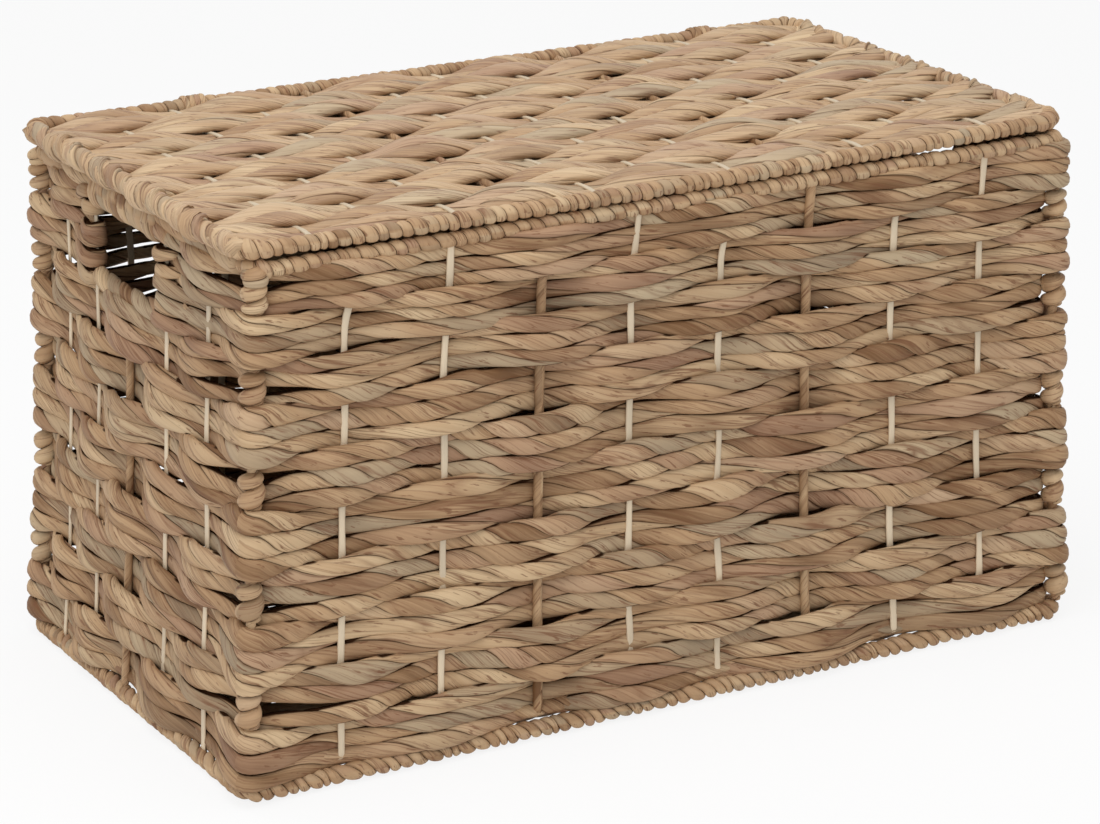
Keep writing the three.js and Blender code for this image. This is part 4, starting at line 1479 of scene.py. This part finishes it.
# Half the thickness of a base rope, half its width as a share of its lane, how far it rises and dips, how
# far it takes to change lanes, and how far it lies above the stakes' undersides
BASE_HALF_DEPTH, BASE_HALF_WIDTH = 0.0046, 0.41
BASE_LIFT, BASE_OVERLAP, BASE_RISE = 0.0038, 0.02, 0.001

# The border rope's way in from the walls, and up from the base
BORDER_INSET, BORDER_RISE = 0.0065, 0.003

# The two ropes of a lane lie so far on both sides of its middle, as a share of the lane
PAIR_OFFSET = 0.25


class WOVENBOX_OT_base(bpy.types.Operator):
    """Weave the base"""

    bl_idname = "wovenbox.base"
    bl_label = "Base"

    def execute(self, context):
        low, high = low_corner("base_weave"), high_corner("base_weave")
        stakes = nodes_named("long_stake_")
        lane_pitch = (high[1] - low[1]) / LANE_COUNT
        knots = np.array([low[0] + BASE_HALF_DEPTH] + [middle(name)[0] for name in stakes]
                         + [high[0] - BASE_HALF_DEPTH])
        lifts = BASE_LIFT * over_under(LANE_COUNT, len(knots))
        level = low_corner(stakes[0])[2] + BASE_RISE
        grids = []
        for number, offset in enumerate((-PAIR_OFFSET, PAIR_OFFSET)):
            lanes = low[1] + (np.arange(LANE_COUNT) + 0.5 + offset) * lane_pitch
            path = to_and_fro(lanes, knots, lifts, BASE_OVERLAP)
            path[:, 2] += level
            grids.append(rope(path, False, AXIS_Y, BASE_HALF_DEPTH, BASE_HALF_WIDTH * lane_pitch, pitch=0.08,
                              spacing=0.0045, draw=drawn("base", number)))
        border = rim_loop(HALF_LENGTH - BORDER_INSET, HALF_DEPTH - BORDER_INSET, BOTTOM_BEND,
                          level + BORDER_RISE)
        grids.append(rope(border, True, AXIS_Z, half_out=0.0068, half_side=0.0045, pitch=0.05,
                          spacing=0.003, draw=drawn("base_border")))
        add_piece("base_ropes", grids, "wall_rope", "box", "base_weave")
        return {"FINISHED"}


# Lid

# The weave starts so far in from the lid's rims
WEAVE_INSET = 0.0045

# How far a lid rope rises and dips at the lid's left and right end, and past a stake: half the stake's
# thickness, up to a limit, and a share of the rope's depth
LEFT_LIFT, RIGHT_LIFT = 0.0032, 0.0020
STAKE_LIMIT, STAKE_LIFT = 0.0018, 0.25

# The ropes turn back short of the right edge, whose coil is the thinner one
RIGHT_SHORT = 0.004
LEFT_COIL, RIGHT_COIL, COIL_INSET = 0.0066, 0.0056, 0.008

# How far a lid rope takes to change lanes, how it sways, and where it passes over a stake, how far it moves
# off its lane's middle, as a share of the lane, and how much wider it is
LID_OVERLAP = 0.016
LID_SWAY, LID_WAVE = 0.0008, 0.09
CREST_SHIFT, CREST_WIDENS = 0.05, 0.15


def lid_plan():
    """The lid's lanes, from front to back, the places where its ropes pass the frame and the stakes, and
    for each lane and place 1 where the ropes pass over and -1 where they pass under."""
    first_y, last_y = LID_FRONT + WEAVE_INSET, LID_BACK - WEAVE_INSET
    lanes = first_y + (np.arange(LANE_COUNT) + 0.5) * (last_y - first_y) / LANE_COUNT
    knots = np.array([LID_LEFT] + [middle(name)[0] for name in nodes_named("lid_stake_")] + [LID_RIGHT])
    return lanes, knots, over_under(LANE_COUNT, len(knots))


class WOVENBOX_OT_lid_ropes(bpy.types.Operator):
    """Weave the lid panel"""

    bl_idname = "wovenbox.lid_ropes"
    bl_label = "Lid ropes"

    def execute(self, context):
        ropes = settings().ropes
        middles, knots, signs = lid_plan()
        lane_pitch = middles[1] - middles[0]
        thick = np.array([min(extent(name)[2] / 2, STAKE_LIMIT) for name in nodes_named("lid_stake_")])
        lift = np.concatenate([[LEFT_LIFT], thick + STAKE_LIFT * ropes.lid_depth, [RIGHT_LIFT]])
        knots[-1] -= RIGHT_SHORT
        grids = []
        for number, way in enumerate((-1.0, 1.0)):
            draw = drawn("lid_ropes", number)
            path = to_and_fro(middles + way * PAIR_OFFSET * lane_pitch, knots, signs * lift, LID_OVERLAP)
            _, marks, length = evenly_spaced(path, FINE, False)
            sway = np.interp(np.linspace(0, 1, len(path)), marks / length,
                             LID_SWAY * drift(marks, length, LID_WAVE, draw))
            crest = np.clip(path[:, 2] / lift[1], -1.0, 1.0)
            path[:, 1] += sway + way * CREST_SHIFT * lane_pitch * crest
            path[:, 2] += LID_Z
            path = np.column_stack([path, 1 + CREST_WIDENS * crest])
            grids.append(rope(path, False, AXIS_Y, ropes.lid_depth / 2, ropes.lid_width / 2, ropes.pitch,
                              spacing=0.003, draw=draw, crease_depth=0.8, roundness=0.85,
                              variety=0.14, packed=True))
        for number, (x, radius) in enumerate([(LID_LEFT, LEFT_COIL), (LID_RIGHT, RIGHT_COIL)]):
            edge = np.array([(x, LID_FRONT + COIL_INSET, LID_Z), (x, LID_BACK - COIL_INSET, LID_Z)])
            grids.append(rope(edge, False, AXIS_Z, radius, radius, pitch=0.026, spacing=0.0015,
                              draw=drawn("lid_edges", number), crease_depth=1.3, variety=0.14))
        add_piece("lid_ropes", grids, "lid_rope", "lid", "lid_weave")
        return {"FINISHED"}


# A lid strip's width as a share of a wall strip's, how far it rises between the ropes, and how far the
# stakes run on into the rims
LID_STRIP_WIDTH = 0.8
LID_STRIP_RISE = 0.0012
LID_STAKE_TUCK = 0.003


class WOVENBOX_OT_lid_frame(bpy.types.Operator):
    """Wind the lid's rims and set its strips and stakes"""

    bl_idname = "wovenbox.lid_frame"
    bl_label = "Lid frame"

    def execute(self, context):
        bindings = settings().bindings
        rims = [("front", LID_FRONT, 1.0, LID_LEFT, LID_RIGHT), ("back", LID_BACK, -1.0, LID_RIGHT, LID_LEFT)]
        for number, (name, y, way, start, end) in enumerate(rims):
            path = rim_route(start, end, y, y + way * RIM_END, LID_Z, LID_BEND)
            from_end = np.minimum(path[:, 0] - LID_LEFT, LID_RIGHT - path[:, 0])
            path = np.column_stack([path, 1 + LID_KNOB * bump(from_end, 0.0, LID_KNOB_REACH)])
            made = wound(path, False, AXIS_Z, bindings.rim_radius, bindings.lid_rim_pitch, columns=16,
                         draw=drawn("lid_rims", number), groove=1.2, uneven=0.22)
            add_piece(f"lid_rim_leaf_{name}", [made], "rim_leaf", "lid", f"lid_rim_{name}")
        lanes, _, signs = lid_plan()
        for number, node in enumerate(nodes_named("lid_stake_")):
            draw = drawn("lid_stakes", number)
            x, _, z = middle(node)
            front, back = low_corner(node)[1] - LID_STAKE_TUCK, high_corner(node)[1] + LID_STAKE_TUCK
            if is_wrapped(node):
                route = np.array([(x, front, z), (x, back, z)])
                add_wrapped_stake(node, "lid", route, AXIS_X, extent(node)[2] / 2, draw)
            else:
                y = np.arange(front, back, FINE)
                rises = np.concatenate([[0.0], -LID_STRIP_RISE * signs[:, number + 1], [0.0]])
                wave = eased(y, np.concatenate([[front], lanes, [back]]), rises)
                route = np.column_stack([np.full(len(y), x), y, z + wave])
                # The lid's strips take the lowest tone, the dull end of the cream: partly their own duller
                # colour and partly painted shade for the shade they lie in between the lid ropes
                add_strip(node, "lid", route, AXIS_X, LID_STRIP_WIDTH * bindings.strip_width, draw, tone=0.0)
        return {"FINISHED"}


# Hinge and wires

# A lashing's cords side by side, how far they lie off the rims, half a cord's thickness, and half its width
# as a share of its place
CORDS = 4
CORD_CLEARANCE = 0.0010
CORD_HALF_DEPTH, CORD_HALF_WIDTH = 0.0011, 0.52


class WOVENBOX_OT_lashings(bpy.types.Operator):
    """Lash the lid's back rim to the box"""

    bl_idname = "wovenbox.lashings"
    bl_label = "Hinge lashings"

    def execute(self, context):
        lower = np.array([HALF_DEPTH, WOUND_RIM_Z])
        upper = np.array([LID_BACK, LID_Z])
        lean = math.atan2(*(upper - lower)[::-1])
        reach = settings().bindings.rim_radius + CORD_CLEARANCE
        turn = lean + np.linspace(-math.pi / 2, math.pi / 2, 40)
        half_round = reach * np.column_stack([np.cos(turn), np.sin(turn)])
        loop = np.vstack([upper + half_round, lower - half_round])
        for number, side in enumerate(("left", "right")):
            draw = drawn("lashings", number)
            node = f"hinge_lashing_{side}"
            width = extent(node)[0] / CORDS
            grids = []
            for cord in range(CORDS):
                x = np.full(len(loop), low_corner(node)[0] + (cord + 0.5) * width)
                grids.append(rope(np.column_stack([x, loop]), True, AXIS_X, CORD_HALF_DEPTH,
                                  CORD_HALF_WIDTH * width, pitch=0.02, spacing=0.0012, draw=draw))
            add_piece(f"lashing_cords_{side}", grids, "rim_leaf", "box", node, settled=settled_hinge)
        return {"FINISHED"}


class WOVENBOX_OT_wires(bpy.types.Operator):
    """Bend the wires of the lid and of both rims"""

    bl_idname = "wovenbox.wires"
    bl_label = "Frame wires"

    def execute(self, context):
        lid_middle = ((LID_LEFT + LID_RIGHT) / 2, 0.0, 0.0)
        lid_loop = rim_loop((LID_RIGHT - LID_LEFT) / 2, LID_BACK, LID_WIRE_BEND, LID_Z) + lid_middle
        top_loop = rim_loop(HALF_LENGTH, HALF_DEPTH, TOP_BEND, WOUND_RIM_Z)
        bottom_loop = rim_loop(HALF_LENGTH, HALF_DEPTH, BOTTOM_BEND, BOTTOM_RIM_Z)
        for number, (name, loop, body, node) in enumerate([
                ("lid_wire", lid_loop, "lid", "lid_frame_wire"),
                ("top_wire", top_loop, "box", "top_rim_wire"),
                ("bottom_wire", bottom_loop, "box", "bottom_rim_wire")]):
            half = extent(node)[2] / 2
            made = rope(loop, True, AXIS_Z, half, half, pitch=0.5, spacing=0.004, draw=drawn("wires", number),
                        hand=1.0, crease_depth=0.0, uneven=0.0)
            add_piece(name, [made], "frame_wire", body, node)
        return {"FINISHED"}


# Stage

FLOOR_REACH = 6.0
FLOOR_GLOW = 0.85
SENSOR_WIDTH = 36.0

# Each lamp's name, place, size and power
LAMPS = (("top_lamp", (-0.5, -0.4, 2.6), 1.8, 30.0), ("front_lamp", (-1.35, -1.3, 1.0), 1.1, 6.0))


def seen_directly(tree):
    """1 for what the camera sees, straight, in a gloss or through glass, and 0 for light on the box."""
    rays = tree.nodes.new("ShaderNodeLightPath")
    seen = math_node(tree, "MAXIMUM", rays.outputs["Is Camera Ray"], rays.outputs["Is Glossy Ray"])
    return math_node(tree, "MAXIMUM", seen, rays.outputs["Is Transmission Ray"])


def floor_material(name):
    """Pale floor: it takes the box's shadow, and shows white where the light is full."""
    material, tree, shader = new_material(name)
    tree.nodes.remove(shader)
    matt = shader_node(tree, "ShaderNodeBsdfDiffuse", Color=(*settings().colours.floor, 1.0))
    glow = shader_node(tree, "ShaderNodeEmission", Color=(*WHITE, 1.0), Strength=1.0)
    share = math_node(tree, "MULTIPLY", seen_directly(tree), FLOOR_GLOW)
    both = shader_node(tree, "ShaderNodeMixShader", Fac=share)
    tree.links.new(matt.outputs[0], both.inputs[1])
    tree.links.new(glow.outputs[0], both.inputs[2])
    tree.links.new(both.outputs[0], tree.nodes["Material Output"].inputs["Surface"])
    return material


def studio_world(daylight):
    """Even white light all round; what the camera sees of it is plain white."""
    world = bpy.data.worlds.new("studio")
    bpy.context.scene.world = world
    world.use_nodes = True
    tree = world.node_tree
    background = tree.nodes["Background"]
    background.inputs["Color"].default_value = (*WHITE, 1.0)
    strength = math_node(tree, "MULTIPLY_ADD", seen_directly(tree), 1.0 - daylight, daylight)
    tree.links.new(strength, background.inputs["Strength"])


def soft_lamp(name, place, size, power, aim):
    """A square area lamp that faces its aim."""
    lamp = bpy.data.lights.new(name, "AREA")
    lamp.size = size
    lamp.energy = power
    holder = bpy.data.objects.new(name, lamp)
    holder.location = place
    holder.rotation_euler = (Vector(aim) - Vector(place)).to_track_quat("-Z", "Y").to_euler()
    bpy.context.scene.collection.objects.link(holder)


def stage_camera(stage):
    """A camera on a sphere round its aim, turned, raised and rolled by the stage's angles."""
    camera = bpy.data.cameras.new("camera")
    camera.lens = stage.lens
    camera.sensor_width = SENSOR_WIDTH
    holder = bpy.data.objects.new("camera", camera)
    turn, rise = stage.azimuth, stage.elevation
    back = Vector((math.sin(turn) * math.cos(rise), -math.cos(turn) * math.cos(rise), math.sin(rise)))
    right = Vector((math.cos(turn), math.sin(turn), 0.0))
    up = back.cross(right)
    lean, level = math.sin(stage.roll), math.cos(stage.roll)
    right, up = right * level + up * lean, up * level - right * lean
    place = Vector(stage.aim) + back * stage.distance
    holder.matrix_world = Matrix.Translation(place) @ Matrix((right, up, back)).transposed().to_4x4()
    bpy.context.scene.collection.objects.link(holder)
    bpy.context.scene.camera = holder


class WOVENBOX_OT_stage(bpy.types.Operator):
    """Set the floor, the light and the camera"""

    bl_idname = "wovenbox.stage"
    bl_label = "Stage"

    def execute(self, context):
        stage = settings().stage
        corners = [(x * FLOOR_REACH, y * FLOOR_REACH, 0.0) for x, y in ((-1, -1), (1, -1), (1, 1), (-1, 1))]
        mesh = bpy.data.meshes.new("floor")
        mesh.from_pydata(corners, [], [(0, 1, 2, 3)])
        mesh.materials.append(floor_material("floor"))
        floor = bpy.data.objects.new("floor", mesh)
        context.scene.collection.objects.link(floor)
        studio_world(stage.daylight)
        for lamp in LAMPS:
            soft_lamp(*lamp, stage.aim)
        stage_camera(stage)
        context.scene.view_settings.view_transform = "Standard"
        return {"FINISHED"}


# Add-on

OPERATORS = (
    WOVENBOX_OT_wall_ropes, WOVENBOX_OT_corner_posts, WOVENBOX_OT_stakes, WOVENBOX_OT_rims,
    WOVENBOX_OT_handles, WOVENBOX_OT_base, WOVENBOX_OT_lid_ropes, WOVENBOX_OT_lid_frame,
    WOVENBOX_OT_lashings, WOVENBOX_OT_wires, WOVENBOX_OT_stage,
)


class WOVENBOX_PT_sidebar(bpy.types.Panel):
    """Settings and steps of the woven box"""

    bl_idname = "WOVENBOX_PT_sidebar"
    bl_label = "Woven box"
    bl_space_type = "VIEW_3D"
    bl_region_type = "UI"
    bl_category = "Woven box"

    def draw(self, context):
        chosen = settings()
        for group in (chosen.ropes, chosen.settling, chosen.bindings, chosen.colours, chosen.stage):
            column = self.layout.column(align=True)
            for name in group.bl_rna.properties.keys():
                if name not in ("rna_type", "name"):
                    column.prop(group, name)
        for operator in OPERATORS:
            self.layout.operator(operator.bl_idname)


CLASSES = (
    WovenBoxRopes, WovenBoxSettling, WovenBoxBindings, WovenBoxColours, WovenBoxStage, WovenBoxSettings,
    *OPERATORS, WOVENBOX_PT_sidebar,
)


def register():
    for made in CLASSES:
        bpy.utils.register_class(made)
    bpy.types.Scene.woven_box = PointerProperty(type=WovenBoxSettings)


def unregister():
    del bpy.types.Scene.woven_box
    for made in reversed(CLASSES):
        bpy.utils.unregister_class(made)


def main():
    register()
    bpy.ops.wovenbox.wall_ropes()
    bpy.ops.wovenbox.corner_posts()
    bpy.ops.wovenbox.stakes()
    bpy.ops.wovenbox.rims()
    bpy.ops.wovenbox.handles()
    bpy.ops.wovenbox.base()
    bpy.ops.wovenbox.lid_ropes()
    bpy.ops.wovenbox.lid_frame()
    bpy.ops.wovenbox.lashings()
    bpy.ops.wovenbox.wires()
    bpy.ops.wovenbox.stage()


if __name__ == "__main__":
    main()
